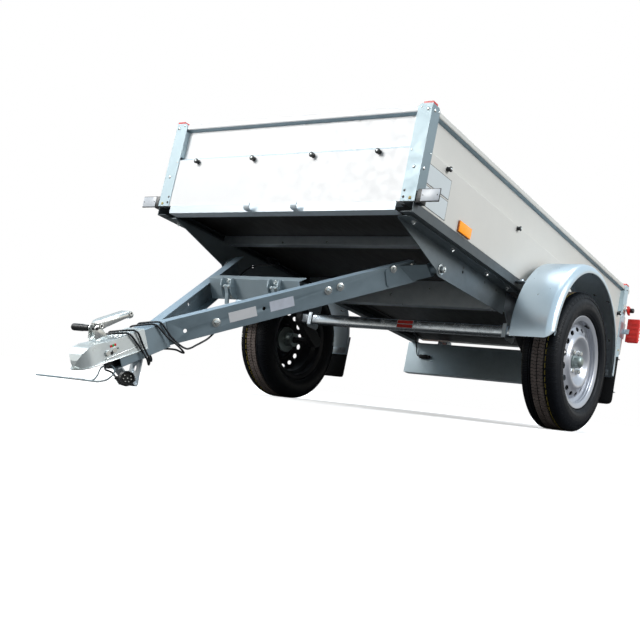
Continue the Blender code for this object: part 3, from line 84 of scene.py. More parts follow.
def makeCamera(fit):
    turn = Matrix.Rotation(math.radians(fit["bedTiltThere"]) + bedTilt, 4, "X")
    yaw, pitch = math.radians(fit["yaw"]), math.radians(fit["pitch"])
    look = Vector((-math.sin(yaw) * math.cos(pitch), math.cos(yaw) * math.cos(pitch), math.sin(pitch)))
    right = look.cross(Vector((0, 0, 1))).normalized()
    up = right.cross(look)
    pose = Matrix((right, up, -look)).transposed().to_4x4()
    pose.translation = Vector(fit["place"]) - Vector((0, 0, axle.z))
    camera = bpy.data.cameras.new("photoCamera")
    camera.sensor_width = 36
    camera.sensor_fit = "HORIZONTAL"
    camera.lens = fit["focalPixels"] * 36 / fit["frame"]
    camera.shift_x = (fit["frame"] / 2 - fit["centre"][0]) / fit["frame"]
    camera.shift_y = (fit["centre"][1] - fit["frame"] / 2) / fit["frame"]
    camera.clip_end = 60
    rig = bpy.data.objects.new("photoCamera", camera)
    rig.matrix_world = Matrix.Translation(axle) @ turn @ pose
    bpy.context.scene.collection.objects.link(rig)
    bpy.context.scene.camera = rig


makeCamera(cameraFit)
print("camera placed")


# Materials
def newShader(name):
    made = bpy.data.materials.new(name)
    made.use_nodes = True
    tree = made.node_tree
    return made, tree, tree.nodes["Principled BSDF"]


def addNode(tree, kind, **values):
    made = tree.nodes.new(kind)
    for key, value in values.items():
        if key in made.inputs:
            made.inputs[key].default_value = value
        else:
            setattr(made, key, value)
    return made


def objectPlace(tree, scale=(1, 1, 1)):
    coordinate = addNode(tree, "ShaderNodeTexCoord")
    mapping = addNode(tree, "ShaderNodeMapping", Scale=scale)
    tree.links.new(coordinate.outputs["Object"], mapping.inputs["Vector"])
    return mapping.outputs["Vector"]


def noise(tree, place, scale, detail=3.0, roughness=0.5):
    made = addNode(tree, "ShaderNodeTexNoise", Scale=scale, Detail=detail, Roughness=roughness)
    tree.links.new(place, made.inputs["Vector"])
    return made.outputs["Fac"]


def ramp(tree, value, stops):
    made = addNode(tree, "ShaderNodeValToRGB")
    while len(made.color_ramp.elements) < len(stops):
        made.color_ramp.elements.new(0.5)
    for element, (position, colour) in zip(made.color_ramp.elements, stops):
        element.position = position
        element.color = (*colour, 1)
    tree.links.new(value, made.inputs["Fac"])
    return made.outputs["Color"]


def feed(tree, shader, socket, value, *stops):
    tree.links.new(ramp(tree, value, stops), shader.inputs[socket])


def cellsAt(tree, place, scale):
    made = addNode(tree, "ShaderNodeTexVoronoi", Scale=scale)
    tree.links.new(place, made.inputs["Vector"])
    return made


def grey(value):
    return (value, value, value)


def bump(tree, shader, height, strength, distance):
    made = addNode(tree, "ShaderNodeBump", Strength=strength, Distance=distance)
    tree.links.new(height, made.inputs["Height"])
    tree.links.new(made.outputs["Normal"], shader.inputs["Normal"])


def mixColour(tree, factor, first, second, blend="MIX"):
    made = tree.nodes.new("ShaderNodeMix")
    made.data_type = "RGBA"
    made.blend_type = blend
    sockets = [socket for socket in made.inputs if socket.enabled]
    for socket, value in zip(sockets, (factor, first, second)):
        if isinstance(value, bpy.types.NodeSocket):
            tree.links.new(value, socket)
        else:
            socket.default_value = value if isinstance(value, float) else (*value, 1)
    return [socket for socket in made.outputs if socket.enabled][0]


# Zinc: faint spangle cells, cloudy runs and a rough sheen
def galvanised(name, colour, darker, rough, metallic, spangle=60.0, mottling=0.5, grain=0.05, spread=1.0):
    made, tree, shader = newShader(name)
    place = objectPlace(tree)
    flecks = ramp(tree, cellsAt(tree, place, spangle).outputs["Color"],
                  ((0.0, grey(0.42)), (1.0, grey(0.58))))
    clouds = ramp(tree, noise(tree, place, 5.0, 5.0, 0.6), ((0.32, darker), (0.68, colour)))
    shader.inputs["Metallic"].default_value = metallic
    tint = mixColour(tree, mottling * 0.5, clouds, flecks, "OVERLAY")
    tree.links.new(tint, shader.inputs["Base Color"])
    feed(tree, shader, "Roughness", noise(tree, place, 34.0, 4.0), (0.3, grey(rough - 0.07 * spread)),
         (0.7, grey(rough + 0.08 * spread)))
    bump(tree, shader, noise(tree, place, 210.0, 2.0), grain, 0.0006)
    return made


zincFinish = galvanised("zincFinish", (0.56, 0.62, 0.67), (0.47, 0.535, 0.59), 0.34, 0.8)
dullZinc = galvanised("dullZinc", (0.26, 0.335, 0.385), (0.225, 0.295, 0.34), 0.38, 0.45, 90.0, 0.25)
# near-white zinc of the front board: painted light, far paler than the side boards' zinc
panelLitWhite = galvanised("panelLitWhite", (0.96, 0.96, 0.97), (0.93, 0.93, 0.94), 0.48, 0.05, 140.0, 0.05)
headZinc = galvanised("headZinc", (0.84, 0.9, 0.9), (0.76, 0.82, 0.83), 0.34, 0.5, 50.0, 0.25)
plated = galvanised("plated", (0.8, 0.82, 0.8), (0.66, 0.69, 0.69), 0.24, 0.9, 50.0, 0.35)
brightZinc = galvanised("brightZinc", (0.72, 0.77, 0.82), (0.6, 0.66, 0.72), 0.22, 0.95, 75.0, 0.45)
darkPlate = galvanised("darkPlate", (0.2, 0.235, 0.255), (0.165, 0.195, 0.215), 0.42, 0.5, 80.0, 0.3)
# near-black zinc of the side rails under the boards: painted shade
railShadeZinc = galvanised("railShadeZinc", (0.115, 0.135, 0.145), (0.095, 0.11, 0.12), 0.45, 0.4, 80.0, 0.3)
# lit and shaded copies of the posts' zinc: painted light on the fronts, painted shade on the front posts' outer
# faces
postLitZinc = galvanised("postLitZinc", (0.6, 0.74, 0.8), (0.56, 0.7, 0.765), 0.5, 0.12, 90.0, 0.15)
postShadeZinc = galvanised("postShadeZinc", (0.27, 0.345, 0.385), (0.235, 0.305, 0.34), 0.42, 0.45, 90.0, 0.2)
guardZinc = galvanised("guardZinc", (0.68, 0.79, 0.87), (0.65, 0.76, 0.84), 0.29, 0.72, 120.0, 0.06, 0.008,
                       0.25)
sillZinc = galvanised("sillZinc", (0.78, 0.86, 0.92), (0.72, 0.8, 0.86), 0.4, 0.15, 75.0, 0.15)


def plastic(name, colour, rough, texture=0.06, spread=0.9, shine=0.5):
    made, tree, shader = newShader(name)
    shader.inputs["Specular IOR Level"].default_value = shine
    place = objectPlace(tree)
    low = tuple(c * spread for c in colour)
    feed(tree, shader, "Base Color", noise(tree, place, 26.0), (0.35, low), (0.65, colour))
    feed(tree, shader, "Roughness", noise(tree, place, 60.0), (0.3, grey(rough - 0.05)),
         (0.7, grey(rough + 0.06)))
    bump(tree, shader, noise(tree, place, 900.0, 2.0), texture, 0.0004)
    return made


redPlastic = plastic("redPlastic", (0.78, 0.02, 0.012), 0.34)
blackPlastic = plastic("blackPlastic", (0.01, 0.011, 0.013), 0.36)
whitePlastic = plastic("whitePlastic", (0.7, 0.74, 0.8), 0.3)
stickerWhite = plastic("stickerWhite", (0.84, 0.84, 0.86), 0.4, 0.02, 0.97)
stickerGrey = plastic("stickerGrey", (0.74, 0.78, 0.88), 0.42, 0.02, 0.85)
platePale = plastic("platePale", (0.74, 0.8, 0.82), 0.38, 0.02, 0.98)
plateEdgeAndHoleShade = plastic("plateEdgeAndHoleShade", (0.09, 0.09, 0.09), 0.45)
flapRubber = plastic("flapRubber", (0.006, 0.006, 0.007), 0.62, 0.2, 0.9, 0.25)
tyreRubber = plastic("tyreRubber", (0.0045, 0.006, 0.0095), 0.5, 0.2, 0.9, 0.22)
treadRubber = plastic("treadRubber", (0.185, 0.15, 0.138), 0.75, 0.35, 0.75, 0.3)
yellowPaint = plastic("yellowPaint", (0.34, 0.27, 0.05), 0.5)
armBlack = plastic("armBlack", (0.022, 0.023, 0.026), 0.42, 0.15)
rimSilver = galvanised("rimSilver", (0.55, 0.57, 0.62), (0.53, 0.55, 0.6), 0.31, 0.5, 200.0, 0.02, 0.006,
                       0.2)
# near-black for the rims' side towards the trailer: painted shade
rimShade = plastic("rimShade", (0.012, 0.014, 0.018), 0.4)
# paler blue zinc along the drawbar's top rounding: painted highlight
edgeHighlight = galvanised("edgeHighlight", (0.4, 0.53, 0.64), (0.36, 0.48, 0.58), 0.4, 0.2, 90.0, 0.15)
# cross-member zinc; on the rear beam's middle it is also painted shade
crossZincAndShade = galvanised("crossZincAndShade", (0.46, 0.55, 0.6), (0.4, 0.49, 0.54), 0.38, 0.3, 80.0, 0.25)
capGrey = galvanised("capGrey", (0.4, 0.46, 0.44), (0.3, 0.36, 0.35), 0.36, 0.75, 60.0, 0.4)
cableBlack = plastic("cableBlack", (0.008, 0.01, 0.014), 0.4)
wireSteel = plastic("wireSteel", (0.36, 0.47, 0.52), 0.35)
greenPaint = plastic("greenPaint", (0.05, 0.42, 0.1), 0.4)
yellowPlated = plastic("yellowPlated", (0.62, 0.5, 0.18), 0.32)
orangeEdge = plastic("orangeEdge", (0.55, 0.13, 0.01), 0.35)
whiteLens = plastic("whiteLens", (0.72, 0.73, 0.74), 0.16)


# the lenses glow a little though no lamp is lit: painted light
def lens(name, colour, paintedGlow):
    made, tree, shader = newShader(name)
    place = objectPlace(tree)
    cells = cellsAt(tree, place, 260.0).outputs["Distance"]
    feed(tree, shader, "Base Color", cells, (0.0, colour), (0.8, tuple(c * 0.6 for c in colour)))
    shader.inputs["Emission Color"].default_value = (*colour, 1)
    shader.inputs["Emission Strength"].default_value = paintedGlow
    feed(tree, shader, "Roughness", noise(tree, place, 80.0), (0.3, grey(0.12)), (0.7, grey(0.24)))
    bump(tree, shader, cells, 0.35, 0.0012)
    return made


redLens = lens("redLens", (0.9, 0.035, 0.03), 0.25)
orangeLens = lens("orangeLens", (1.0, 0.34, 0.01), 0.55)


def makePlywood():
    made, tree, shader = newShader("plywood")
    place = objectPlace(tree, (1.0, 0.06, 1.0))
    grain = noise(tree, place, 90.0, 6.0, 0.65)
    feed(tree, shader, "Base Color", grain, (0.3, (0.006, 0.0048, 0.0045)), (0.7, (0.013, 0.01, 0.009)))
    feed(tree, shader, "Roughness", grain, (0.3, grey(0.42)), (0.7, grey(0.58)))
    bump(tree, shader, grain, 0.12, 0.0005)
    return made


plywood = makePlywood()

finishes = {
    "zinc": zincFinish, "bright_zinc": panelLitWhite, "dull_zinc": dullZinc, "plated": plated,
    "plywood": plywood, "tyre": tyreRubber, "rim": rimSilver, "arm_black": armBlack, "lamp_red": redLens,
    "latch_red": redPlastic, "marker_white": whitePlastic, "reflector_orange": orangeLens,
    "flap_rubber": flapRubber, "cable_black": cableBlack, "plug_black": blackPlastic,
    "steel_wire": wireSteel,
}
for name, node in nodes.items():
    node.data.materials.clear()
    node.data.materials.append(finishes[slots[name]])
print("materials made")


# Forms, each made on its own and joined into the piece that is being built
def joinInto(work, part, place, paint=0):
    part.transform(place)
    for face in part.faces:
        face.material_index = paint
    mesh = bpy.data.meshes.new("form")
    part.to_mesh(mesh)
    part.free()
    work.from_mesh(mesh)
    bpy.data.meshes.remove(mesh)


def roundEdges(part, offset):
    if offset:
        bmesh.ops.bevel(part, geom=list(part.edges), affect="EDGES", offset=offset, segments=2,
                        profile=0.5, material=-1)


def addBox(work, low, high, edge=0.0, paint=0, place=Matrix()):
    low, high = Vector(low), Vector(high)
    part = bmesh.new()
    bmesh.ops.create_cube(part, size=1)
    part.transform(Matrix.Translation((low + high) / 2) @ Matrix.Diagonal((*(high - low), 1)))
    roundEdges(part, edge)
    joinInto(work, part, place, paint)


def addOutline(work, points, low, high, edge=0.0, paint=0, place=Matrix()):
    part = bmesh.new()
    face = part.faces.new([part.verts.new((x, y, low)) for x, y in points])
    made = bmesh.ops.extrude_face_region(part, geom=[face])["geom"]
    bmesh.ops.translate(part, vec=(0, 0, high - low),
                        verts=[v for v in made if isinstance(v, bmesh.types.BMVert)])
    bmesh.ops.recalc_face_normals(part, faces=part.faces)
    roundEdges(part, edge)
    joinInto(work, part, place, paint)


def addTurned(work, profile, place=Matrix(), steps=48, paint=0):
    part = bmesh.new()
    line = [part.verts.new((along, 0, radius)) for along, radius in profile]
    edges = [part.edges.new(pair) for pair in zip(line, line[1:])]
    bmesh.ops.spin(part, geom=line + edges, cent=(0, 0, 0), axis=(1, 0, 0), angle=math.tau, steps=steps,
                   use_merge=True, use_duplicate=False)
    bmesh.ops.remove_doubles(part, verts=part.verts, dist=0.00001)
    bmesh.ops.recalc_face_normals(part, faces=part.faces)
    joinInto(work, part, place, paint)


def pointing(place, direction):
    turn = Vector((1, 0, 0)).rotation_difference(Vector(direction)).to_matrix().to_4x4()
    return Matrix.Translation(place) @ turn


def addRod(work, start, end, radius, steps=20, edge=0.0, paint=0):
    start, end = Vector(start), Vector(end)
    length = (end - start).length
    edge = max(edge, 0.0001)
    profile = [(0, 0), (0, radius - edge), (edge, radius), (length - edge, radius), (length, radius - edge),
               (length, 0)]
    addTurned(work, profile, pointing(start, end - start), steps, paint)


def addOval(work, place, across, along, steps):
    part = bmesh.new()
    bmesh.ops.create_cone(part, cap_ends=True, segments=steps, radius1=1, radius2=1, depth=1)
    joinInto(work, part, place @ Matrix.Diagonal((across, along, 0.03, 1)))


def addBolt(work, place, direction, across, paint=0):
    radius = across / 2
    washer = [(0, 0), (0, radius * 1.75), (0.0016, radius * 1.75), (0.002, radius * 1.65), (0.002, 0)]
    stand = pointing(place, direction)
    addTurned(work, washer, stand, 24, paint)
    addTurned(work, [(0.002, 0), (0.002, radius * 1.1), (radius * 1.25, radius * 1.1),
                     (radius * 1.42, radius * 0.92), (radius * 1.42, 0)], stand, 6, paint)
    end = radius * 1.42 + 0.003
    addTurned(work, [(0.002, 0), (0.002, radius * 0.55), (end - 0.0008, radius * 0.55),
                     (end, radius * 0.42), (end, 0)], stand, 14, paint)


def addRivet(work, place, direction, radius, paint=0):
    profile = [(radius * 0.55 * math.sin(a), radius * math.cos(a))
               for a in (math.radians(15 * k) for k in range(7))]
    addTurned(work, [(-0.0005, 0), (-0.0005, radius)] + profile, pointing(place, direction), 18, paint)


def newPiece(name, work, axes, finish, body, angle=32):
    work.transform(axes)
    if axes.determinant() < 0:
        bmesh.ops.reverse_faces(work, faces=work.faces)
    mesh = bpy.data.meshes.new(name)
    work.to_mesh(mesh)
    work.free()
    for each in finish if isinstance(finish, list) else [finish]:
        mesh.materials.append(each)
    mesh.shade_smooth()
    mesh.set_sharp_from_angle(angle=math.radians(angle))
    piece = bpy.data.objects.new(name, mesh)
    bpy.context.scene.collection.objects.link(piece)
    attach(piece, body)
    return piece


# A CAD node's copy with its holes cut and its edges rounded, so that they catch the light
def carry(name, finish, edge=0.0008, cutters=None, paint=None, segments=2, angle=30, reshape=None):
    work = bmesh.new()
    work.from_mesh(nodes[name].data)
    bmesh.ops.remove_doubles(work, verts=work.verts, dist=0.00001)
    bmesh.ops.dissolve_limit(work, angle_limit=math.radians(1.5), verts=work.verts, edges=work.edges)
    for corner in work.verts if reshape else ():
        corner.co = reshape(corner.co)
    piece = newPiece(name + "_look", work, Matrix(), finish, bodyOf[name], angle)
    if cutters:
        cutHoles(piece, newPiece(name + "_tool", cutters, Matrix(), finish, bodyOf[name]))
    if edge:
        soft = piece.modifiers.new("edges", "BEVEL")
        soft.width = edge
        soft.segments = segments
        soft.limit_method = "ANGLE"
        soft.angle_limit = math.radians(angle)
        soft.harden_normals = True
        applyModifiers(piece)
    if paint:
        for face in piece.data.polygons:
            face.material_index = paint(face.center)
    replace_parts(piece, name)


def applyModifiers(piece):
    graph = bpy.context.evaluated_depsgraph_get()
    done = bpy.data.meshes.new_from_object(piece.evaluated_get(graph))
    piece.modifiers.clear()
    piece.data = done


def cutHoles(piece, tool):
    holes = piece.modifiers.new("holes", "BOOLEAN")
    holes.object = tool
    holes.solver = "EXACT"
    applyModifiers(piece)
    bpy.data.objects.remove(tool)


# Cords, with the same route points as in the part's source
def smoothRoute(points, steps=6):
    knots = [Vector(point) for point in points]
    knots = [2 * knots[0] - knots[1]] + knots + [2 * knots[-1] - knots[-2]]
    route = [knots[1]]
    for before, start, end, after in zip(knots, knots[1:], knots[2:], knots[3:]):
        span = (end - start).length
        first = start + (end - before) * span / (3 * ((start - before).length + span))
        second = end - (after - start) * span / (3 * ((after - end).length + span))
        route += geometry.interpolate_bezier(start, first, second, end, steps + 1)[1:]
    return route


def makeCord(name, points, diameter, finish, body, axes=Matrix()):
    curve = bpy.data.curves.new(name, "CURVE")
    curve.dimensions = "3D"
    curve.bevel_depth = diameter / 2
    curve.bevel_resolution = 4
    curve.use_fill_caps = True
    route = [axes @ point for point in smoothRoute(points)]
    spline = curve.splines.new("POLY")
    spline.points.add(len(route) - 1)
    for point, place in zip(spline.points, route):
        point.co = (*place, 1)
    curve.materials.append(finish)
    piece = bpy.data.objects.new(name, curve)
    bpy.context.scene.collection.objects.link(piece)
    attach(piece, body)
    return piece


def routeLength(points):
    route = smoothRoute(points)
    return sum((b - a).length for a, b in zip(route, route[1:]))


cableDiameter, wireDiameter, touch = 0.006, 0.0045, 0.0003


def overEdge(x, z, first, last):
    right, up = math.copysign(1, x), math.copysign(1, z)
    return [(x + 0.006 * right, first, z - 0.0065 * up),
            (x + 0.0024 * right, (first + last) / 2, z + 0.0024 * up),
            (x - 0.0065 * right, last, z + 0.006 * up)]


def makeHeldCables():
    side, top, bottom, headSide, headTop = 0.032, 0.0375, -0.043, 0.0367, 0.044

    def turn(x, z, near, far, left, y, height, under):  # over the top, down the far side and underneath
        return (overEdge(x, z, *near) + overEdge(-x, z, *far)[::-1] + [(left, y, height)]
                + overEdge(-side, bottom, *under))

    wraps = [(0.06395, -0.7723, -0.05904), (0.061, -0.79, -0.0615), (0.057, -0.806, -0.06),
             (0.05, -0.822, -0.045), (0.0405, -0.845, -0.008)]
    wraps += turn(side, top, (-0.8635, -0.8715), (-0.899, -0.893), -0.0385, -0.893, 0.0, (-0.88, -0.868))
    wraps += [(0.0, -0.846, -0.051), (0.03, -0.826, -0.0585), (0.047, -0.819, -0.0685),
              (0.0605, -0.8235, -0.0665), (0.0645, -0.836, -0.05), (0.0575, -0.849, -0.028),
              (0.0445, -0.863, -0.004)]
    wraps += turn(side, top, (-0.882, -0.8955), (-0.9285, -0.9225), -0.0385, -0.9215, 0.003,
                  (-0.911, -0.902))
    wraps += [(0.0, -0.906, -0.051), (0.029, -0.925, -0.053), (0.043, -0.94, -0.056),
              (0.045, -0.949, -0.036), (0.0415, -0.957, 0.0)]
    wraps += turn(headSide, headTop, (-0.966, -0.9775), (-1.002, -1.003), -0.0415, -0.99, 0.003,
                  (-0.956, -0.93))
    wraps += [(0.0, -0.922, -0.0525), (0.028, -0.934, -0.061), (0.041, -0.95, -0.064),
              (0.0475, -0.957, -0.045), (0.044, -0.964, -0.02), (0.0415, -0.976, 0.008)]
    wraps += overEdge(headSide, headTop, -0.992, -1.0045)
    wraps += overEdge(-headSide, headTop, -1.031, -1.029)[::-1]
    wraps += [(-0.0415, -1.031, 0.01), (-0.0405, -1.034, -0.02), (-0.037, -1.043, -0.041),
              (-0.027, -1.052, -0.05), (-0.012, -1.0545, -0.052)]
    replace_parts(makeCord("wrapLook", wraps, cableDiameter, cableBlack, "drawbar", barAxes), "cable_wraps")
    low, inside, across = -0.0312, -0.0137, -0.384
    loom = [(-0.3, 0, 0), (-0.318, 0, 0), (-0.336, -0.006, -0.001), (-0.348, -0.024, -0.004),
            (-0.352, -0.05, -0.009), (-0.344, -0.1, -0.02), (-0.325, -0.16, -0.028),
            (-0.29, -0.24, low + 0.0008), (-0.256, -0.315, -0.0295), (-0.233, -0.35, -0.02),
            (-0.21, -0.376, inside + 0.001), (-0.186, across, inside), (-0.09, across, inside),
            (0.0, across, inside), (0.09, across, inside), (0.188, across, inside),
            (0.207, -0.39, inside + 0.0012), (0.219, -0.415, -0.0225), (0.208, -0.45, -0.03),
            (0.17, -0.53, low), (0.13, -0.605, low), (0.106, -0.634, low), (0.083, -0.656, low + 0.001),
            (0.067, -0.676, -0.0385), (0.066, -0.7, -0.048), (0.068, -0.725, -0.0535),
            (0.067, -0.75, -0.0565), (0.064, -0.772, -0.059)]
    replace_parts(makeCord("loomLook", loom, cableDiameter, cableBlack, "drawbar", barAxes), "drawbar_cable")


def makePlug(tail, turn, lift):
    profile = [(0.0, 0.0), (0.0, 0.0085), (0.003, 0.013), (0.019, 0.014), (0.02, 0.016), (0.024, 0.0182),
               (0.027, 0.019), (0.06, 0.02), (0.061, 0.0208), (0.062, 0.0212), (0.066, 0.0212),
               (0.067, 0.0206), (0.068, 0.0195), (0.097, 0.019), (0.098, 0.0182), (0.098, 0.0165),
               (0.08, 0.016), (0.08, 0.0)]
    place = Matrix.Translation(tail) @ Matrix.Rotation(turn, 4, "Z") @ Matrix.Rotation(-lift, 4, "Y")
    work = bmesh.new()
    addTurned(work, profile, place, 48)
    for count, low, high, edge in ((16, (0.003, -0.0009, 0.012), (0.0185, 0.0009, 0.015), 0.0004),
                                   (10, (0.07, -0.0012, 0.018), (0.096, 0.0012, 0.0202), 0.0005)):
        for k in range(count):
            addBox(work, low, high, edge, place=place @ Matrix.Rotation(math.tau * k / count, 4, "X"))
    for sign in (1, -1):
        wing = [(0.026, sign * 0.016), (0.05, sign * 0.017), (0.046, sign * 0.0275), (0.04, sign * 0.0285)]
        addOutline(work, wing, -0.005, 0.005, 0.0012, place=place)
    for k in range(7):
        spot = Matrix.Rotation(math.tau * k / 7, 4, "X") @ Vector((0.0, 0.0, 0.0105 if k else 0.0))
        addRod(work, place @ (spot + Vector((0.078, 0, 0))), place @ (spot + Vector((0.094, 0, 0))), 0.0019,
               12, 0.0006, 1)
    piece = newPiece("plugLook", work, Matrix(), [blackPlastic, plated], "drawbar")
    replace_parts(piece, "plug")
    return piece


def makeFreeCable():
    x, y, z = barAxes @ Vector((-0.012 + 1.8 * touch, -1.0545, -0.052))
    tail, turn, lift = Vector((0.107, -1.31145, 0.0184)), math.radians(-35), math.radians(3.2)
    heading = Vector((math.cos(turn) * math.cos(lift), math.sin(turn) * math.cos(lift), math.sin(lift)))
    points = [(x, y, z), (x + 0.016, y, z - 0.004), (x + 0.032, y - 0.0015, z - 0.013),
              (x + 0.047, y - 0.0045, z - 0.0235), (x + 0.061, y - 0.0095, z - 0.0303),
              (x + 0.0745, y - 0.0165, 0.0042), (x + 0.087, y - 0.0245, 0.007),
              (x + 0.0985, y - 0.0322, 0.0125), tuple(tail - 0.012 * heading), tuple(tail - touch * heading)]
    plug = makePlug(tail, turn, lift)
    cable = makeCord("cableEnd", points, cableDiameter, cableBlack, "drawbar")
    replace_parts(cable, "cable_end")
    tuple(points[0])
    round(routeLength(points), 3)


def makeSafetyWire():
    x, y, z = barAxes @ Vector((0, -1.0598, -0.033))
    rest = wireDiameter / 2 + touch
    along = Vector((-0.93, -0.3676, 0))
    side = Vector((-0.3676, 0.93, 0)) * rest
    collar = Vector((x - 0.064, y - 0.028, rest))
    near, far = collar - side, collar + side
    points = [tuple(far), tuple(far - 0.012 * along), (-0.04, y - 0.014, 0.006), (-0.0335, y - 0.007, 0.02),
              (-0.03, y - 0.002, 0.04), (-0.024, y, z - 0.0052), (-0.011, y, z), (0.0, y, z), (0.011, y, z),
              (0.024, y, z - 0.0052), (0.0295, y - 0.001, z - 0.018), (0.024, y - 0.005, 0.022),
              (0.011, y - 0.011, 0.01), (-0.008, y - 0.0175, 0.004), (-0.028, y - 0.0225, rest),
              tuple(near - 0.012 * along), tuple(near)]
    begin = collar + (0.042 + 3 * touch) * along
    across = side.normalized()
    bow = ((0.04, 0.0155), (0.072, 0.0235), (0.094, 0.0185), (0.105, 0.004), (0.1, -0.014), (0.08, -0.021),
           (0.045, -0.0145))
    loop = [begin + side, begin + 0.012 * along + 1.3 * side]
    loop += [begin + ahead * along + aside * across for ahead, aside in bow]
    loop += [begin + 0.012 * along - 1.3 * side, begin - side]
    heading = Matrix.Rotation(math.atan2(along.y, along.x), 4, "Z")
    place = Matrix.Translation(collar + touch * along) @ heading
    work = bmesh.new()
    addBox(work, (0, -0.0059, -0.0024), (0.042, 0.0059, 0.003), 0.0012, place=place)
    for start in (-0.0001, 0.0118, 0.0235, 0.0351):
        addBox(work, (start, -0.0064, -0.0025), (start + 0.007, 0.0064, 0.0036), 0.0009, place=place)
    ferrule = newPiece("ferruleLook", work, Matrix(), brightZinc, "drawbar")
    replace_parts(ferrule, "safety_wire_ferrule")
    for name, node, route in (("wireLook", "safety_wire", points),
                              ("wireLoopLook", "safety_wire_loop", loop)):
        wire = makeCord(name, route, wireDiameter, wireSteel, "drawbar")
        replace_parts(wire, node)
        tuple(route[0])
        round(routeLength(route), 3)


makeHeldCables()
makeFreeCable()
makeSafetyWire()
print("cords made")


# Wheels
roundSteps = 96


def addRing(work, profile):
    addTurned(work, profile + profile[:1], Matrix(), roundSteps)


def addAround(work, pitch, count):
    whole = pitch.verts[:] + pitch.edges[:] + pitch.faces[:]
    bmesh.ops.spin(pitch, geom=whole, cent=(0, 0, 0), axis=(1, 0, 0), angle=math.tau * (count - 1) / count,
                   steps=count - 1, use_duplicate=True)
    mesh = bpy.data.meshes.new("pitch")
    pitch.to_mesh(mesh)
    pitch.free()
    work.from_mesh(mesh)
    bpy.data.meshes.remove(mesh)


# Blocks of the two middle ribs with slanting sipes, finely cut shoulders, and the yellow line
def addTread(work):
    pitches, radius, base, zig = 66, 0.2735, 0.2655, 0.0026
    half = math.pi * radius / pitches
    pitch = bmesh.new()
    for low, high in ((0.0022, 0.0235), (-0.0235, -0.0022)):
        third = (high - low) / 3
        for start, end in ((-half + 0.0014, -0.0014), (0.0012, half - 0.0018)):
            block = [(low, start), (low + third, start + zig), (low + 2 * third, start - zig), (high, start),
                     (high, end), (low + 2 * third, end - zig), (low + third, end + zig), (low, end)]
            addOutline(pitch, block, base, 0.273, paint=1)
    upright = Matrix.Rotation(math.radians(90), 4, "X")
    shoulder = [(0.0385, base), (0.0385, 0.2728), (0.05, 0.2722), (0.058, 0.2698), (0.065, 0.264),
                (0.0698, 0.257), (0.0722, 0.249), (0.069, 0.25), (0.06, 0.26)]
    for k in range(4):
        start = -half + (2 * half / 4) * k
        for sign in (1, -1):
            outline = [(sign * x, r) for x, r in shoulder]
            addOutline(pitch, outline, start + 0.0005, start + half / 2 - 0.0012, place=upright)
    addBox(pitch, (0.0318, -half + 0.003, base), (0.0334, half - 0.005, 0.2724), paint=2)
    addBox(pitch, (-0.0352, -half + 0.0015, base), (-0.0312, half - 0.0015, 0.2718))
    addAround(work, pitch, pitches)


def makeTyre(side, axes):
    work = bmesh.new()
    half = [(0.0, 0.266), (0.03, 0.2658), (0.045, 0.265), (0.056, 0.263), (0.064, 0.2575),
            (0.07, 0.249), (0.0742, 0.239), (0.0765, 0.229), (0.0775, 0.218), (0.0772, 0.208),
            (0.076, 0.205), (0.0742, 0.1985), (0.0708, 0.1925), (0.0684, 0.1902), (0.0682, 0.1885),
            (0.064, 0.1858), (0.059, 0.1846), (0.0562, 0.1832), (0.0556, 0.179), (0.0556, 0.1655),
            (0.042, 0.1655), (0.06, 0.2), (0.0655, 0.22), (0.06, 0.245), (0.045, 0.258),
            (0.0, 0.2595)]
    addRing(work, half + [(-x, r) for x, r in reversed(half[1:-1])])
    for x, radius in ((0.0768, 0.229), (0.0774, 0.212), (0.0735, 0.1968)):
        addRing(work, [(x - 0.002, radius - 0.0012), (x + 0.0004, radius - 0.0006),
                       (x + 0.0004, radius + 0.0004), (x - 0.002, radius + 0.0012)])
    addTread(work)
    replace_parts(newPiece("tyreLook_" + side, work, axes, [tyreRubber, treadRubber, yellowPaint],
                         "wheel_" + side, 28), "tyre_" + side)


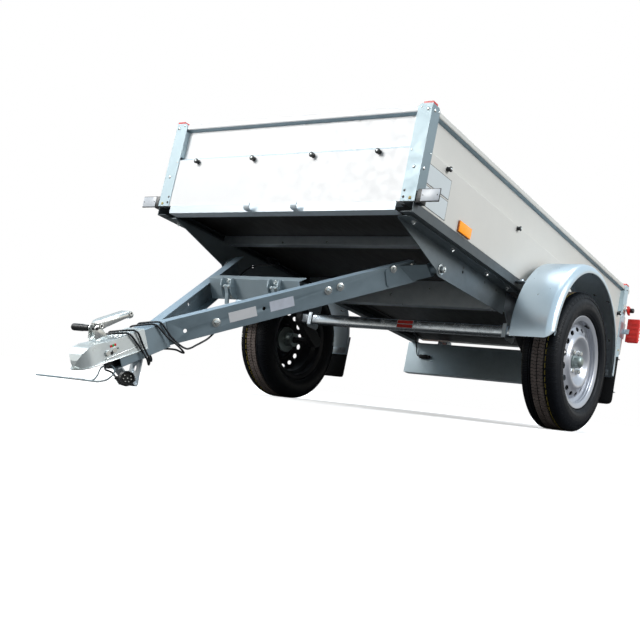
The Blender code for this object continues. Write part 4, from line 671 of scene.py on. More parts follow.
def makeRim(side, axes):
    disc = [(point.x, point.y) for point in smoothRoute(
        [(0.0345, 0.03, 0), (0.0345, 0.057, 0), (0.037, 0.066, 0), (0.0455, 0.077, 0), (0.055, 0.087, 0),
         (0.0588, 0.095, 0), (0.058, 0.103, 0), (0.0535, 0.1095, 0), (0.049, 0.116, 0), (0.0455, 0.127, 0),
         (0.0405, 0.138, 0), (0.033, 0.144, 0), (0.031, 0.1455, 0)], 3)]
    profile = [(0.0626, 0.1822), (0.0604, 0.182), (0.0585, 0.179), (0.0576, 0.17), (0.056, 0.1652),
               (0.0362, 0.1651), (0.0262, 0.15), (-0.018, 0.15), (-0.032, 0.1651), (-0.056, 0.1652),
               (-0.0582, 0.179), (-0.061, 0.1822), (-0.0632, 0.1812), (-0.062, 0.1782), (-0.0602, 0.166),
               (-0.057, 0.1615), (-0.033, 0.1611), (-0.019, 0.146)]
    profile += [(x - 0.004, r) for x, r in reversed(disc)] + disc
    profile += [(0.033, 0.15), (0.0375, 0.16), (0.042, 0.1608), (0.044, 0.1592), (0.047, 0.1592),
                (0.049, 0.161), (0.0565, 0.1612), (0.0592, 0.164), (0.0604, 0.174),
                (0.0628, 0.1785), (0.0632, 0.1808)]
    work = bmesh.new()
    addRing(work, profile)
    holes = bmesh.new()
    vents, ventAcross, ventRadius, ventTilt = 16, 0.0445, 0.1275, 68
    for k in range(vents):
        place = (Matrix.Rotation(math.tau * (k + 0.5) / vents, 4, "X")
                 @ Matrix.Translation((ventAcross, 0, ventRadius))
                 @ Matrix.Rotation(math.radians(ventTilt), 4, "Y"))
        addOval(holes, place, 0.0092, 0.0132, 24)
    piece = newPiece("rimLook_" + side, work, axes, rimSilver, "wheel_" + side, 40)
    cutHoles(piece, newPiece("vents", holes, axes, rimSilver, "wheel_" + side))
    piece.data.set_sharp_from_angle(angle=math.radians(40))
    piece.data.materials.append(rimShade)
    outward = 1 if side == "left" else -1
    for face in piece.data.polygons:  # painted shade: the side towards the trailer is dark
        place = axes.inverted() @ face.center
        if place.x < 0.0275 or (face.normal.x * outward < -0.2 and math.hypot(place.y, place.z) < 0.15):
            face.material_index = len(piece.data.materials) - 1
    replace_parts(piece, "rim_" + side)
    valve = bmesh.new()
    addRod(valve, (0.042, 0.055, 0.15), (0.062, 0.053, 0.14), 0.0042, 16, 0.001)
    newPiece("valve_" + side, valve, axes, blackPlastic, "wheel_" + side)


def makeHub(side, axes):
    seatX, boltRing, bolts = 0.0297, 0.05, 4
    work = bmesh.new()
    addTurned(work, [(0.0695, 0.0), (0.07, 0.006), (0.0695, 0.0125), (0.0672, 0.0185), (0.063, 0.0222),
                     (0.056, 0.0238), (0.04, 0.0245), (0.0392, 0.0262), (0.037, 0.0268), (seatX, 0.0268),
                     (seatX, 0.06), (0.0177, 0.06), (0.0117, 0.032), (-0.03, 0.032), (-0.03, 0.0155),
                     (0.012, 0.0155), (0.012, 0.0)], Matrix(), 48, 1)
    for k in range(bolts):
        angle = math.tau * (k + 0.5) / bolts
        stand = Matrix.Translation((seatX, -boltRing * math.sin(angle), boltRing * math.cos(angle)))
        addTurned(work, [(0.0, 0), (0.0, 0.011), (0.0062, 0.0125), (0.008, 0.0118), (0.008, 0)], stand, 24)
        addTurned(work, [(0.008, 0), (0.008, 0.0102), (0.018, 0.0102), (0.0196, 0.0086), (0.0196, 0)], stand,
                  6)
        addTurned(work, [(0.019, 0), (0.019, 0.0062), (0.0208, 0.0058), (0.0208, 0)], stand, 20)
    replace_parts(newPiece("hubLook_" + side, work, axes, [plated, capGrey], "wheel_" + side, 30),
                "hub_" + side)


for side, sign in sides:
    wheelAxes = turnedAxes(Matrix.Translation((sign * halfTrack, axle.y, axle.z)), sign)
    makeTyre(side, wheelAxes)
    makeRim(side, wheelAxes)
    makeHub(side, wheelAxes)
print("wheels made")


# Mudguards and flaps
def makeGuard(side, axes):
    radius, middle, sheet = 0.352, 0.031, 0.002
    inside, outside, shoulder, lip, corner = 0.61, 0.7818, 0.03, 0.318, 0.04
    section = [(inside, radius - 0.016), (inside, radius - 0.002), (inside + 0.002, radius),
               (outside - shoulder, radius)]
    section += [(outside - shoulder + shoulder * math.cos(a), radius - shoulder + shoulder * math.sin(a))
                for a in (math.radians(90 - 9 * k) for k in range(1, 11))]
    section += [(outside, lip + 0.006), (outside - 0.0005, lip + 0.002), (outside - 0.002, lip + 0.0003),
                (outside - 0.004, lip), (outside - 0.006, lip + 0.001)]
    start, end, steps = math.pi + math.radians(4), math.radians(-2), 72
    work = bmesh.new()
    line = [work.verts.new((x, r, 0)) for x, r in section]
    edges = [work.edges.new(pair) for pair in zip(line, line[1:])]
    bmesh.ops.spin(work, geom=line + edges, cent=(0, 0, 0), axis=(1, 0, 0), angle=start - end, steps=steps)
    bmesh.ops.recalc_face_normals(work, faces=work.faces)
    work.transform(Matrix.Translation((0, 0, middle)) @ Matrix.Rotation(end, 4, "X"))
    tip = middle + radius * math.sin(start)
    for point in work.verts:  # rounded front corner
        share = (point.co.x - outside + corner) / corner
        lowest = tip + corner - corner * math.sqrt(max(0.0, 1 - share * share)) if share > 0 else tip
        if point.co.y < 0 and point.co.z < lowest:
            point.co.z = lowest
    bmesh.ops.remove_doubles(work, verts=work.verts, dist=0.00005)
    centre = Vector((0, 0, middle))
    if sum(face.normal.yz.dot((face.calc_center_median() - centre).yz) for face in work.faces) < 0:
        bmesh.ops.reverse_faces(work, faces=work.faces)
    shell = newPiece("guardLook_" + side, work, axes, guardZinc, "bed", 40)
    thick = shell.modifiers.new("sheet", "SOLIDIFY")
    thick.thickness = sheet
    thick.offset = -1.0
    applyModifiers(shell)
    shell.data.set_sharp_from_angle(angle=math.radians(40))
    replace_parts(shell, "mudguard_" + side)
    rail = 0.2345
    reach = math.sqrt((radius - 0.008) ** 2 - (rail - middle) ** 2)
    stays = bmesh.new()
    for y in (-reach, reach):
        addBox(stays, (0.5695, y - 0.016, rail - 0.0015), (inside + 0.001, y + 0.016, rail + 0.0015), 0.0006)
        addBolt(stays, (0.59, y, rail + 0.0015), (0, 0, 1), 0.013)
    endY = radius * math.cos(end)
    addBox(stays, (0.616, endY - 0.0025, 0.025), (0.745, endY + 0.003, 0.071), 0.001)
    newPiece("guardStays_" + side, stays, axes, zincFinish, "bed")
    flap = bmesh.new()
    inner = inside + 0.004
    top, low, back = 0.11, -0.095, endY + 0.0033
    outline = [(inner, top), (inner, low + 0.01), (inner + 0.003, low + 0.003), (inner + 0.01, low),
               (inner + 0.145, low), (inner + 0.156, low + 0.003), (inner + 0.163, low + 0.01),
               (inner + 0.165, low + 0.02), (inner + 0.165, top)]
    lying = Matrix(((1, 0, 0, 0), (0, 0, 1, 0), (0, 1, 0, 0), (0, 0, 0, 1)))
    addOutline(flap, outline, back, back + 0.005, 0.0008, place=lying)
    addBox(flap, (inner + 0.002, back + 0.0045, top - 0.03), (inner + 0.163, back + 0.007, top - 0.002),
           0.0007, 1)
    for x in (0.02, 0.0825, 0.145):
        addBolt(flap, (inner + x, back + 0.007, top - 0.016), (0, 1, 0), 0.01, 1)
    bmesh.ops.recalc_face_normals(flap, faces=flap.faces)
    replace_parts(newPiece("flapLook_" + side, flap, axes, [flapRubber, zincFinish], "bed"),
                "mudflap_" + side)


for side, sign in sides:
    makeGuard(side, turnedAxes(bedAxes, sign))
print("mudguards made")


# Boards: a paler step band, which is a painted highlight, and a bluish painted shade under the rail
intoBed = bedAxes.inverted()


def boardLightAndShade(step, shade):
    def paint(place):
        height = (intoBed @ place).z - stepZ
        if -0.001 < height < 0.013:
            return step
        return shade if 0.118 < height < 0.1245 else 0
    return paint


# painted bluish shade under the rail, and pale blue painted light on the front board's step band
panelShade = galvanised("panelShade", (0.27, 0.37, 0.43), (0.235, 0.33, 0.39), 0.38, 0.35)
stepLitBlue = galvanised("stepLitBlue", (0.78, 0.9, 0.97), (0.75, 0.87, 0.95), 0.4, 0.05, 60.0, 0.05)
sidePanel = galvanised("sidePanel", (0.78, 0.765, 0.72), (0.745, 0.735, 0.695), 0.42, 0.12, 140.0, 0.08)
capBlue = galvanised("capBlue", (0.34, 0.46, 0.56), (0.28, 0.39, 0.48), 0.3, 0.75)
carry("front_board", [panelLitWhite, stepLitBlue, panelShade], 0.0012, paint=boardLightAndShade(1, 2))
for side, sign in sides:
    carry("side_board_" + side, [sidePanel, panelShade], 0.0012, paint=boardLightAndShade(0, 1))
carry("floor_panel", plywood, 0.0008)
carry("tailgate", sidePanel, 0.0012)


def addKnob(work, place, direction):
    stand = pointing(place, direction)
    addTurned(work, [(0, 0), (0, 0.0085), (0.002, 0.0085), (0.006, 0.0066), (0.01, 0.006), (0.011, 0.0086),
                     (0.0125, 0.0096), (0.015, 0.009), (0.0162, 0.006), (0.0165, 0)], stand, 24, 0)
    addRivet(work, stand @ Vector((0.0163, 0, 0)), direction, 0.0042, 1)


knobs = bmesh.new()
for x in (-0.417, -0.143, 0.126, 0.399):
    addKnob(knobs, (x, -1.0702, floorZ + 0.172), (0, -1, 0))
for x in (boardOutside, -boardOutside):
    for along in (0.161, 0.726, 1.31, 1.899):
        addKnob(knobs, (x, frontY + along, floorZ + 0.173), (1 if x > 0 else -1, 0, 0))
newPiece("knobs", knobs, bedAxes, [blackPlastic, plated], "bed")

for side, sign in sides:
    plate = bmesh.new()
    for low in (0.007, 0.08):
        addBox(plate, (boardOutside, frontY + 0.049, floorZ + low),
               (boardOutside + 0.0006, frontY + 0.201, floorZ + low + 0.068), paint=1)
        addBox(plate, (boardOutside, frontY + 0.0512, floorZ + low + 0.002),
               (boardOutside + 0.001, frontY + 0.1988, floorZ + low + 0.066))
    newPiece("sidePlates_" + side, plate, turnedAxes(bedAxes, sign), [platePale, plateEdgeAndHoleShade], "bed")
print("boards made")


# Posts with red corner caps and rivets; pale lit zinc, with painted shade on the front posts' outer faces
def capPaint(place):
    return 1 if (intoBed @ place).z > capBase else 0


# painted shade: the front posts' outer faces take the shaded copy of the zinc
def frontPostLightPaint(place):
    local = intoBed @ place
    if local.z > capBase:
        return 1
    return 2 if abs(local.x) > 0.57 else 0


for side, sign in sides:
    carry("post_front_" + side, [postLitZinc, redPlastic, postShadeZinc], 0.0009, paint=frontPostLightPaint)
    carry("post_rear_" + side, [postLitZinc, redPlastic], 0.0011, paint=capPaint)
    fittings = bmesh.new()
    for x, z, radius, tone in ((0.531, 0.575, 0.0038, 0), (0.558, 0.566, 0.0062, 0),
                               (0.525, 0.427, 0.0036, 0), (0.546, 0.368, 0.0062, 0),
                               (0.527, 0.288, 0.0046, 2), (0.527, 0.266, 0.0046, 2),
                               (0.553, 0.262, 0.0058, 1)):
        addRivet(fittings, (x, frontY, z), (0, -1, 0), radius, tone)
    for y, z, radius, tone in ((-1.0545, 0.566, 0.0062, 0), (-1.03, 0.572, 0.0038, 0),
                               (-1.032, 0.427, 0.0036, 0), (-1.055, 0.368, 0.0062, 0),
                               (-1.062, 0.262, 0.0056, 1), (0.9, 0.566, 0.0062, 0),
                               (0.886, 0.427, 0.0036, 0), (0.9, 0.368, 0.0062, 0), (0.9, 0.262, 0.0056, 1)):
        addRivet(fittings, (halfWidth, y, z), (1, 0, 0), radius, tone)
    newPiece("postFittings_" + side, fittings, turnedAxes(bedAxes, sign), [plated, yellowPlated, plateEdgeAndHoleShade],
             "bed")


# Lamps, markers and reflectors
def makeMarkers(side, axes):
    work = bmesh.new()
    addBox(work, (postOutside, -1.07, 0.246), (0.594, -1.039, 0.286), 0.0015, 1)
    addBox(work, (0.5763, -1.0715, 0.248), (0.6603, -1.0675, 0.292), 0.0012, 1)
    addBox(work, (0.5925, -1.0728, 0.2505), (0.6588, -1.0705, 0.2895), 0.0006)
    for x in (0.599, 0.652):
        addRivet(work, (x, -1.0727, 0.27), (0, -1, 0), 0.002, 1)
    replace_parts(newPiece("frontMarker_" + side, work, axes, [whitePlastic, blackPlastic], "bed"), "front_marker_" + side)
    work = bmesh.new()
    addBox(work, (0.5695, -0.783, 0.256), (0.576, -0.695, 0.296), 0.0015, 1)
    addBox(work, (0.575, -0.7815, 0.2575), (0.5783, -0.6965, 0.2945), 0.001)
    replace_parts(newPiece("sideReflector_" + side, work, axes, [orangeLens, orangeEdge], "bed"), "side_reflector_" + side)


def makeSideLamp(side, axes):
    work = bmesh.new()
    addBox(work, (postOutside, 0.879, 0.327), (0.5753, 0.943, 0.402), 0.0008, 1)
    addBox(work, (postOutside, 0.934, 0.352), (0.6, 0.939, 0.376), 0.0008, 1)
    addRod(work, (0.5745, 0.895, 0.345), (0.5765, 0.895, 0.345), 0.007, 16, 0.0005, 1)
    addBox(work, (0.5843, 0.938, 0.314), (0.6443, 0.948, 0.43), 0.003, 2)
    for k in range(4):
        addBox(work, (0.589, 0.9368, 0.329 + 0.0235 * k), (0.6396, 0.9385, 0.344 + 0.0235 * k), 0.0012, 2)
    addBox(work, (0.5855, 0.947, 0.3155), (0.6431, 0.97, 0.4285), 0.006)
    for k in range(5):
        addBox(work, (0.587, 0.96, 0.33 + 0.0175 * k), (0.644, 0.973, 0.334 + 0.0175 * k), 0.0012)
    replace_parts(newPiece("sideLamp_" + side, work, axes, [redLens, zincFinish, redPlastic], "bed"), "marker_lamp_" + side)


def makeLatch(side, axes):
    work = bmesh.new()
    z, y = 0.467, 0.897  # the lever's pin
    addBox(work, (postOutside, y - 0.018, z - 0.022), (0.5763, y + 0.018, z + 0.022), 0.0014, 1)
    addRod(work, (0.5753, y, z), (0.5883, y, z), 0.011, 24, 0.001, 1)
    lying = Matrix(((0, 0, 1, 0.5823), (1, 0, 0, 0), (0, 1, 0, 0), (0, 0, 0, 1)))
    lever = [(y - 0.01, z - 0.006), (y + 0.012, z - 0.012), (y + 0.03, z - 0.02), (y + 0.046, z - 0.02),
             (y + 0.04, z - 0.008), (y + 0.054, z - 0.004), (y + 0.054, z + 0.01), (y + 0.036, z + 0.018),
             (y + 0.014, z + 0.02), (y - 0.004, z + 0.012)]
    addOutline(work, lever, 0.0, 0.009, 0.0016, place=lying)
    addRod(work, (0.5853, y + 0.04, z + 0.004), (0.6083, y + 0.04, z + 0.004), 0.0115, 28, 0.003, 2)
    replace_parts(newPiece("gateLatch_" + side, work, axes, [redPlastic, plated, blackPlastic], "bed"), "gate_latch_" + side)


def makeRearLamp(side, axes):
    work = bmesh.new()
    addBox(work, (0.356, 0.8603, 0.0917), (0.576, 0.886, 0.1917), 0.003)
    for low, high, tone in ((0.36, 0.412, 3), (0.414, 0.52, 1), (0.522, 0.572, 2)):
        addBox(work, (low, 0.884, 0.0955), (high, 0.9003, 0.1879), 0.004, tone)
        for k in range(5):
            addBox(work, (low + 0.003, 0.8985, 0.104 + 0.0175 * k),
                   (high - 0.003, 0.9013, 0.108 + 0.0175 * k), 0.0006, tone)
    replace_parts(newPiece("rearLamp_" + side, work, axes, [blackPlastic, redLens, orangeLens, whiteLens],
                         "bed"), "rear_lamp_" + side)


for side, sign in sides:
    axes = turnedAxes(bedAxes, sign)
    makeMarkers(side, axes)
    makeSideLamp(side, axes)
    makeLatch(side, axes)
    makeRearLamp(side, axes)
print("lamps made")


# Chassis: sill, rails, beams, plates, axle and arms
for name, finish, edge in (("front_sill", sillZinc, 0.001), ("front_cross_beam", zincFinish, 0.001),
                           ("cross_beam", zincFinish, 0.001), ("axle_tube", brightZinc, 0.003)):
    carry(name, finish, edge)
for side, sign in sides:
    carry("side_rail_" + side, railShadeZinc, 0.0012)
    carry("chassis_plate_" + side, darkPlate, 0.001)
    carry("axle_bracket_" + side, zincFinish, 0.0008)
    carry("suspension_arm_" + side, armBlack, 0.0025)


# painted shade: the rear beam's upper middle, between the rails and under the floor, takes the darker zinc
def beamShadePaint(place):
    local = intoBed @ place
    return 1 if abs(local.x) < 0.556 and local.z > 0.056 else 0


carry("rear_beam", [zincFinish, crossZincAndShade], 0.0012, paint=beamShadePaint)

under = floorZ - cableDiameter / 2 - 4 * touch
connectorY, connectorZ = 0.8452, floorZ - 0.112
bedCable = [(-0.2997, -0.726, 0.137), (-0.282, -0.726, 0.137), (-0.263, -0.716, 0.141),
            (-0.262, -0.686, 0.155), (-0.3, -0.651, 0.182), (-0.37, -0.611, 0.205), (-0.44, -0.566, 0.219),
            (-0.478, -0.501, 0.222), (-0.484, -0.386, 0.222), (-0.48, -0.291, 0.222), (-0.47, -0.201, 0.222),
            (-0.46, -0.113, 0.234), (-0.455, -0.013, under), (-0.458, 0.277, under), (-0.466, 0.577, under),
            (-0.49, 0.727, under - 0.002), (-0.512, connectorY - 0.055, 0.234),
            (-0.521, connectorY - 0.02, 0.206), (-0.5212, connectorY - 0.004, 0.18),
            (-0.5205, connectorY, connectorZ + 0.024), (-0.5135, connectorY, connectorZ + 0.0071),
            (-0.504, connectorY, connectorZ + 0.0012), (-0.4953, connectorY, connectorZ)]
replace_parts(makeCord("bedLoom", bedCable, cableDiameter, cableBlack, "bed", bedAxes), "bed_cable")

for side, sign in sides:
    bolts = bmesh.new()
    out = Vector((1, 0, 0))
    addTurned(bolts, [(0, 0), (0, 0.0165), (0.002, 0.0165), (0.0024, 0.0155), (0.0024, 0)],
              pointing((plateOutside, pivotInBed[0], pivotInBed[1]), out), 32)
    addBolt(bolts, (plateOutside + 0.002, pivotInBed[0], pivotInBed[1]), out, 0.022)
    for y in (-0.99, -0.72, -0.45, -0.27):
        addBolt(bolts, (0.53, y, 0.2135), (0, 0, -1), 0.012)
    # dark discs for the plate's holes: painted shade
    for y in (-0.573, -0.4, -0.3):
        hole = Vector((plateOutside, y, floorZ - 0.059))
        addRod(bolts, hole + 0.0001 * out, hole + 0.0004 * out, 0.0055, 20, 0.0001, 1)
    newPiece("plateBolts_" + side, bolts, turnedAxes(bedAxes, sign), [plated, plateEdgeAndHoleShade], "bed")

label = bmesh.new()
addBox(label, (-0.022, -0.146, 0.0575), (0.059, -0.1454, 0.0925))
for low in (0.0765, 0.0595):
    addBox(label, (-0.02, -0.1463, low), (0.057, -0.1459, low + 0.014), paint=1)
newPiece("axleLabel", label, bedAxes, [stickerWhite, redPlastic], "bed")
print("chassis made")


# Drawbar
lean = math.atan(webTaper)
labelY = -0.845
webAlong = Vector((math.sin(lean), math.cos(lean), 0))
webOut = Vector((math.cos(lean), -math.sin(lean), 0))


def onWeb(y, z, out=0.0):
    return Vector((webHalf + webTaper * y, y, z)) + webOut * out


webFrame = Matrix((webAlong, (0, 0, 1), webOut)).transposed().to_4x4()
webFrame.translation = onWeb(labelY, 0)


def armHighlightPaint(place):
    edgeBase = 0.0362  # painted highlight on the rounding along the arm's top
    return 1 if (barAxes.inverted() @ place).z > edgeBase else 0


for side, sign in sides:
    axes = turnedAxes(barAxes, sign)
    holes = bmesh.new()
    for y, z in ((-0.7972, -0.0056), (-0.5552, 0.002)):
        addRod(holes, onWeb(y, z, -0.012), onWeb(y, z, 0.012), 0.0062, 28)
    holes.transform(axes)
    if sign < 0:
        bmesh.ops.reverse_faces(holes, faces=holes.faces)
    carry("drawbar_arm_" + side, [dullZinc, edgeHighlight], 0.0022, holes, armHighlightPaint, 3)
    bolts = bmesh.new()
    for y, z in ((-0.7048, -0.0039), (-0.3433, 0.0078), (-0.3016, 0.0101)):
        addBolt(bolts, onWeb(y, z), webOut, 0.016)
    for y, z in ((-0.111, 0.026), (-0.038, 0.02)):
        addBolt(bolts, onWeb(y, z, 0.0045), webOut, 0.015)
    newPiece("armBolts_" + side, bolts, axes, plated, "drawbar")
    stickers = bmesh.new()
    for start, end, low, high, tone in ((-0.665, -0.58, -0.0155, 0.0165, 0),
                                        (-0.5365, -0.459, -0.014, 0.019, 1)):
        first, last = ((y - labelY) / math.cos(lean) for y in (start, end))
        addBox(stickers, (first, low, 0.0), (last, high, 0.0006), paint=tone, place=webFrame)
    newPiece("stickers_" + side, stickers, axes, [stickerWhite, stickerGrey], "drawbar")

# the same painted highlight along the nose tube's top
carry("nose_tube", [dullZinc, edgeHighlight], 0.003, paint=armHighlightPaint, segments=3)
seams = bmesh.new()
for x in (0.0321, -0.0321):
    addBox(seams, (x - 0.0003, -1.0403, -0.0065), (x + 0.0003, -0.9353, -0.0045))
newPiece("noseSeam", seams, barAxes, capBlue, "drawbar")
carry("drawbar_cross_member", crossZincAndShade, 0.0014, segments=3)

catches = bmesh.new()
for x in (0.105, -0.105):
    for k in range(9):
        addTurned(catches, [(0, 0.0062), (0.0016, 0.0078), (0.0032, 0.0062), (0.0016, 0.005), (0, 0.0062)],
                  Matrix.Translation((x - 0.0144 + 0.0032 * k, -0.421, 0.03)), 16)
    for z in (-0.008, 0.046):
        addBolt(catches, (x, -0.408, z), (0, -1, 0), 0.01)
newPiece("catchSprings", catches, barAxes, plated, "drawbar")

# Foot of bent sheet with an oval hole in each leg
ovals = bmesh.new()
for y, tilt in ((-1.0165, 35), (-0.9655, -35)):
    leg = barAxes @ Matrix.Translation((0, y, -0.074)) @ Matrix.Rotation(math.radians(90 + tilt), 4, "X")
    addOval(ovals, leg, 0.0062, 0.0095, 28)
carry("support_foot", zincFinish, 0.0008, ovals)
carry("wire_anchor", blackPlastic, 0.001)


# Coupling: pressed head with a rolled lower flange, ribs, indicator window and its lever
domeStart, domeLength = -1.085, 0.08


def domed(place):
    local = barAxes.inverted() @ place
    if local.y > domeStart:
        return place
    share = min(1, (domeStart - local.y) / domeLength)
    local.y += 0.0035 * share
    local.x *= 1 - 0.1 * share
    local.z -= 0.005 * share * share if local.z > 0.02 else 0
    return barAxes @ local


def makeCoupling():
    carry("coupling_head", headZinc, 0.008, segments=5, angle=20, reshape=domed)
    work = bmesh.new()
    low = [(0.036, -0.9353), (0.0392, -0.937), (0.04, -1.06), (0.0375, -1.1), (0.0365, -1.13)]
    low += [(0.0392 * math.cos(a), -1.14 - 0.0392 * math.sin(a))
            for a in (math.radians(9 * k) for k in range(1, 10))]
    outline = low + [(0.0, -1.1792)] + [(-x, y) for x, y in reversed(low)]
    slope = Matrix.Translation((0, -0.9353, -0.0195)) @ Matrix.Rotation(math.radians(-2.9), 4, "X")
    addOutline(work, outline, 0.0, 0.003, 0.0008, place=slope @ Matrix.Translation((0, 0.9353, 0)))
    for x in (-0.02, -0.0068, 0.0068, 0.02):
        addBox(work, (x - 0.003, -1.03, 0.0415), (x + 0.003, -0.945, 0.044), 0.0011)
    for sign in (1, -1):
        out = Vector((sign, 0, 0))
        for y, z, radius in ((-1.0805, 0.0135, 0.0085), (-1.056, 0.0155, 0.009)):
            addTurned(work, [(0, 0), (0, radius), (0.0024, radius), (0.0034, radius - 0.0012), (0.0034, 0)],
                      pointing((sign * 0.0345, y, z), out), 28)
        addBox(work, (sign * 0.0362 - 0.0008, -1.09, -0.002), (sign * 0.0362 + 0.0008, -0.94, 0.0005),
               0.0005)
        for y, z, radius, steps in ((-1.067, 0.01, 0.005, 20), (-1.043, 0.017, 0.0042, 3)):
            addRod(work, (sign * 0.0352, y, z), (sign * 0.0366, y, z), radius, steps, 0.0003, 1)
    for y, tone in ((-1.069, 2), (-1.0615, 3), (-1.054, 2)):  # the window's red and green fields
        for x in (0.0352, -0.0372):
            addBox(work, (x, y, 0.0262), (x + 0.002, y + 0.007, 0.033), 0.0003, tone)
    newPiece("couplingFittings", work, barAxes, [plated, blackPlastic, redPlastic, greenPaint], "drawbar")


def makeLever():
    work = bmesh.new()
    y, seat = -1.0805, 0.0523
    lying = Matrix(((0, 0, 1, 0), (1, 0, 0, 0), (0, 1, 0, 0), (0, 0, 0, 1)))
    bracket = [(y - 0.016, seat - 0.0004), (y + 0.01, seat - 0.003), (y + 0.03, seat - 0.004),
               (y + 0.012, seat + 0.036), (y + 0.006, seat + 0.042), (y - 0.004, seat + 0.042),
               (y - 0.01, seat + 0.036)]
    for low in (-0.015, 0.0125):
        addOutline(work, bracket, low, low + 0.0025, 0.0007, place=lying)
    handle = [(y + 0.006, seat + 0.03), (y + 0.014, seat + 0.025), (y + 0.03, seat + 0.0275),
              (y + 0.112, seat + 0.032), (y + 0.118, seat + 0.027), (y + 0.13, seat + 0.028),
              (y + 0.135, seat + 0.034), (y + 0.132, seat + 0.045), (y + 0.118, seat + 0.0515),
              (y + 0.03, seat + 0.054), (y + 0.012, seat + 0.053), (y + 0.004, seat + 0.046)]
    addOutline(work, handle, -0.016, 0.016, 0.0024, place=lying)
    for out in (Vector((1, 0, 0)), Vector((-1, 0, 0))):
        for along, height, radius in ((0.124, 0.0405, 0.0046), (0.012, 0.036, 0.0052)):
            eye = Vector((0, y + along, seat + height)) + 0.0178 * out
            addTurned(work, [(-0.0008, radius - 0.0018), (0.0006, radius - 0.0018), (0.001, radius),
                             (0.0006, radius + 0.0022), (-0.0008, radius + 0.0022),
                             (-0.0008, radius - 0.0018)], pointing(eye, out), 24)
            addRod(work, eye, eye + 0.000178 * out, radius - 0.0016, 20, 0.0001, 1)
    grip = [(0.0, 0), (0.0, 0.0085), (0.006, 0.0092), (0.018, 0.0095), (0.024, 0.0098)]
    grip += [(0.026 + 0.0042 * k + step, 0.01 + rise) for k in range(9) for step, rise in
             ((0.0, 0.0), (0.001, 0.0005), (0.0026, 0.0005), (0.0036, 0.0))]  # nine ribs on the grip
    grip += [(0.0665, 0.0102), (0.0682, 0.0092), (0.0685, 0.008), (0.0685, 0)]
    addTurned(work, grip, pointing((-0.0165, y - 0.004, seat + 0.034), (-1, 0, 0)), 40, 1)
    addTurned(work, [(0, 0), (0, 0.005), (0.019, 0.005), (0.019, 0)],
              pointing((-0.001, y - 0.004, seat + 0.034), (1, 0, 0)), 20, 1)
    for centre in (-0.0205, 0.0):
        for k in range(9):
            addTurned(work, [(0, 0.0052), (0.0011, 0.0064), (0.0022, 0.0052), (0.0011, 0.0042), (0, 0.0052)],
                      pointing((centre, y - 0.008 + 0.0018 * k, seat + 0.003 + 0.0034 * k), (0, 0.42, 0.91)),
                      18)
    piece = newPiece("leverLook", work, barAxes, [plated, blackPlastic], "drawbar",
                     30)
    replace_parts(piece, "coupling_lever")


makeCoupling()
makeLever()
print("drawbar made")


# Floor, lamps and world
def combine(tree, operation, *values):
    made = addNode(tree, "ShaderNodeMath", operation=operation)
    for socket, value in zip(made.inputs, values):
        if isinstance(value, float):
            socket.default_value = value
        else:
            tree.links.new(value, socket)
    return made.outputs["Value"]


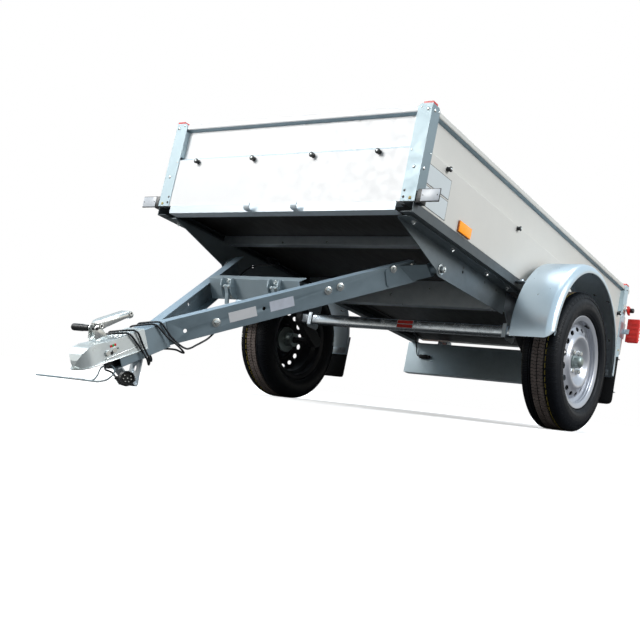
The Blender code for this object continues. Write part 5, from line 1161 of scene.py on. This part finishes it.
def makeStage():
    work = bmesh.new()
    bmesh.ops.create_circle(work, cap_ends=True, segments=96, radius=40)
    mesh = bpy.data.meshes.new("floor")
    work.to_mesh(mesh)
    work.free()
    floor = bpy.data.objects.new("floor", mesh)
    bpy.context.scene.collection.objects.link(floor)
    made, tree, shader = newShader("floorPaint")
    path = addNode(tree, "ShaderNodeLightPath").outputs
    seen = combine(tree, "MAXIMUM", path["Is Camera Ray"], path["Is Transmission Ray"])
    feed(tree, shader, "Base Color", seen, (0.0, grey(0.16)), (1.0, grey(0.9)))
    shader.inputs["Roughness"].default_value = 0.9
    shader.inputs["Specular IOR Level"].default_value = 0.0
    shader.inputs["Emission Color"].default_value = (1, 1, 1, 1)
    away = addNode(tree, "ShaderNodeVectorMath", operation="LENGTH")
    tree.links.new(objectPlace(tree), away.inputs[0])
    fade = addNode(tree, "ShaderNodeMapRange", interpolation_type="SMOOTHSTEP")
    for socket, value in (("From Min", 1.0), ("From Max", 3.2), ("To Min", 0.5), ("To Max", 1.3)):
        fade.inputs[socket].default_value = value
    tree.links.new(away.outputs["Value"], fade.inputs["Value"])
    tree.links.new(combine(tree, "MULTIPLY", seen, fade.outputs["Result"]),
                   shader.inputs["Emission Strength"])
    mesh.materials.append(made)

    world = bpy.data.worlds.new("studio")
    bpy.context.scene.world = world
    world.use_nodes = True
    tree = world.node_tree
    sky = tree.nodes["Background"]
    path = addNode(tree, "ShaderNodeLightPath").outputs
    seen = combine(tree, "MAXIMUM", path["Is Camera Ray"], path["Is Transmission Ray"])
    bright = combine(tree, "MAXIMUM", seen, combine(tree, "MULTIPLY", path["Is Glossy Ray"], 0.8))
    feed(tree, sky, "Strength", bright, (0.0, grey(0.42)), (1.0, grey(1.0)))
    # Reflections: pale blue sky above, warm grey near the horizon
    direction = addNode(tree, "ShaderNodeTexCoord")
    parts = addNode(tree, "ShaderNodeSeparateXYZ")
    tree.links.new(direction.outputs["Generated"], parts.inputs["Vector"])
    tint = ramp(tree, parts.outputs["Z"], ((0.0, (0.74, 0.7, 0.63)), (0.14, (0.95, 0.91, 0.82)),
                                           (0.34, (0.8, 0.92, 1.0)), (1.0, (0.72, 0.89, 1.0))))
    view = mixColour(tree, path["Is Camera Ray"], tint, (1.0, 1.0, 1.0))
    tree.links.new(view, sky.inputs["Color"])

    lamps = {
        "keyLamp": ((-2.6, -4.2, 3.6), (0, -0.2, 0.6), 2.6, 215, (1.0, 0.985, 0.96)),
        "sideLamp": ((4.6, 0.6, 2.6), (0.4, 0.3, 0.5), 2.4, 125, (0.97, 0.98, 1.0)),
        "topLamp": ((0.4, 1.2, 4.6), (0, 0.2, 0.6), 3.0, 60, (1.0, 1.0, 1.0)),
    }
    for name, (place, aim, size, power, colour) in lamps.items():
        lamp = bpy.data.lights.new(name, "AREA")
        lamp.shape = "DISK"
        lamp.size = size
        lamp.energy = power
        lamp.color = colour
        holder = bpy.data.objects.new(name, lamp)
        holder.location = place
        holder.rotation_euler = (Vector(aim) - Vector(place)).to_track_quat("-Z", "Y").to_euler()
        bpy.context.scene.collection.objects.link(holder)


makeStage()
bpy.context.scene.view_settings.view_transform = "Standard"
print("stage ready")
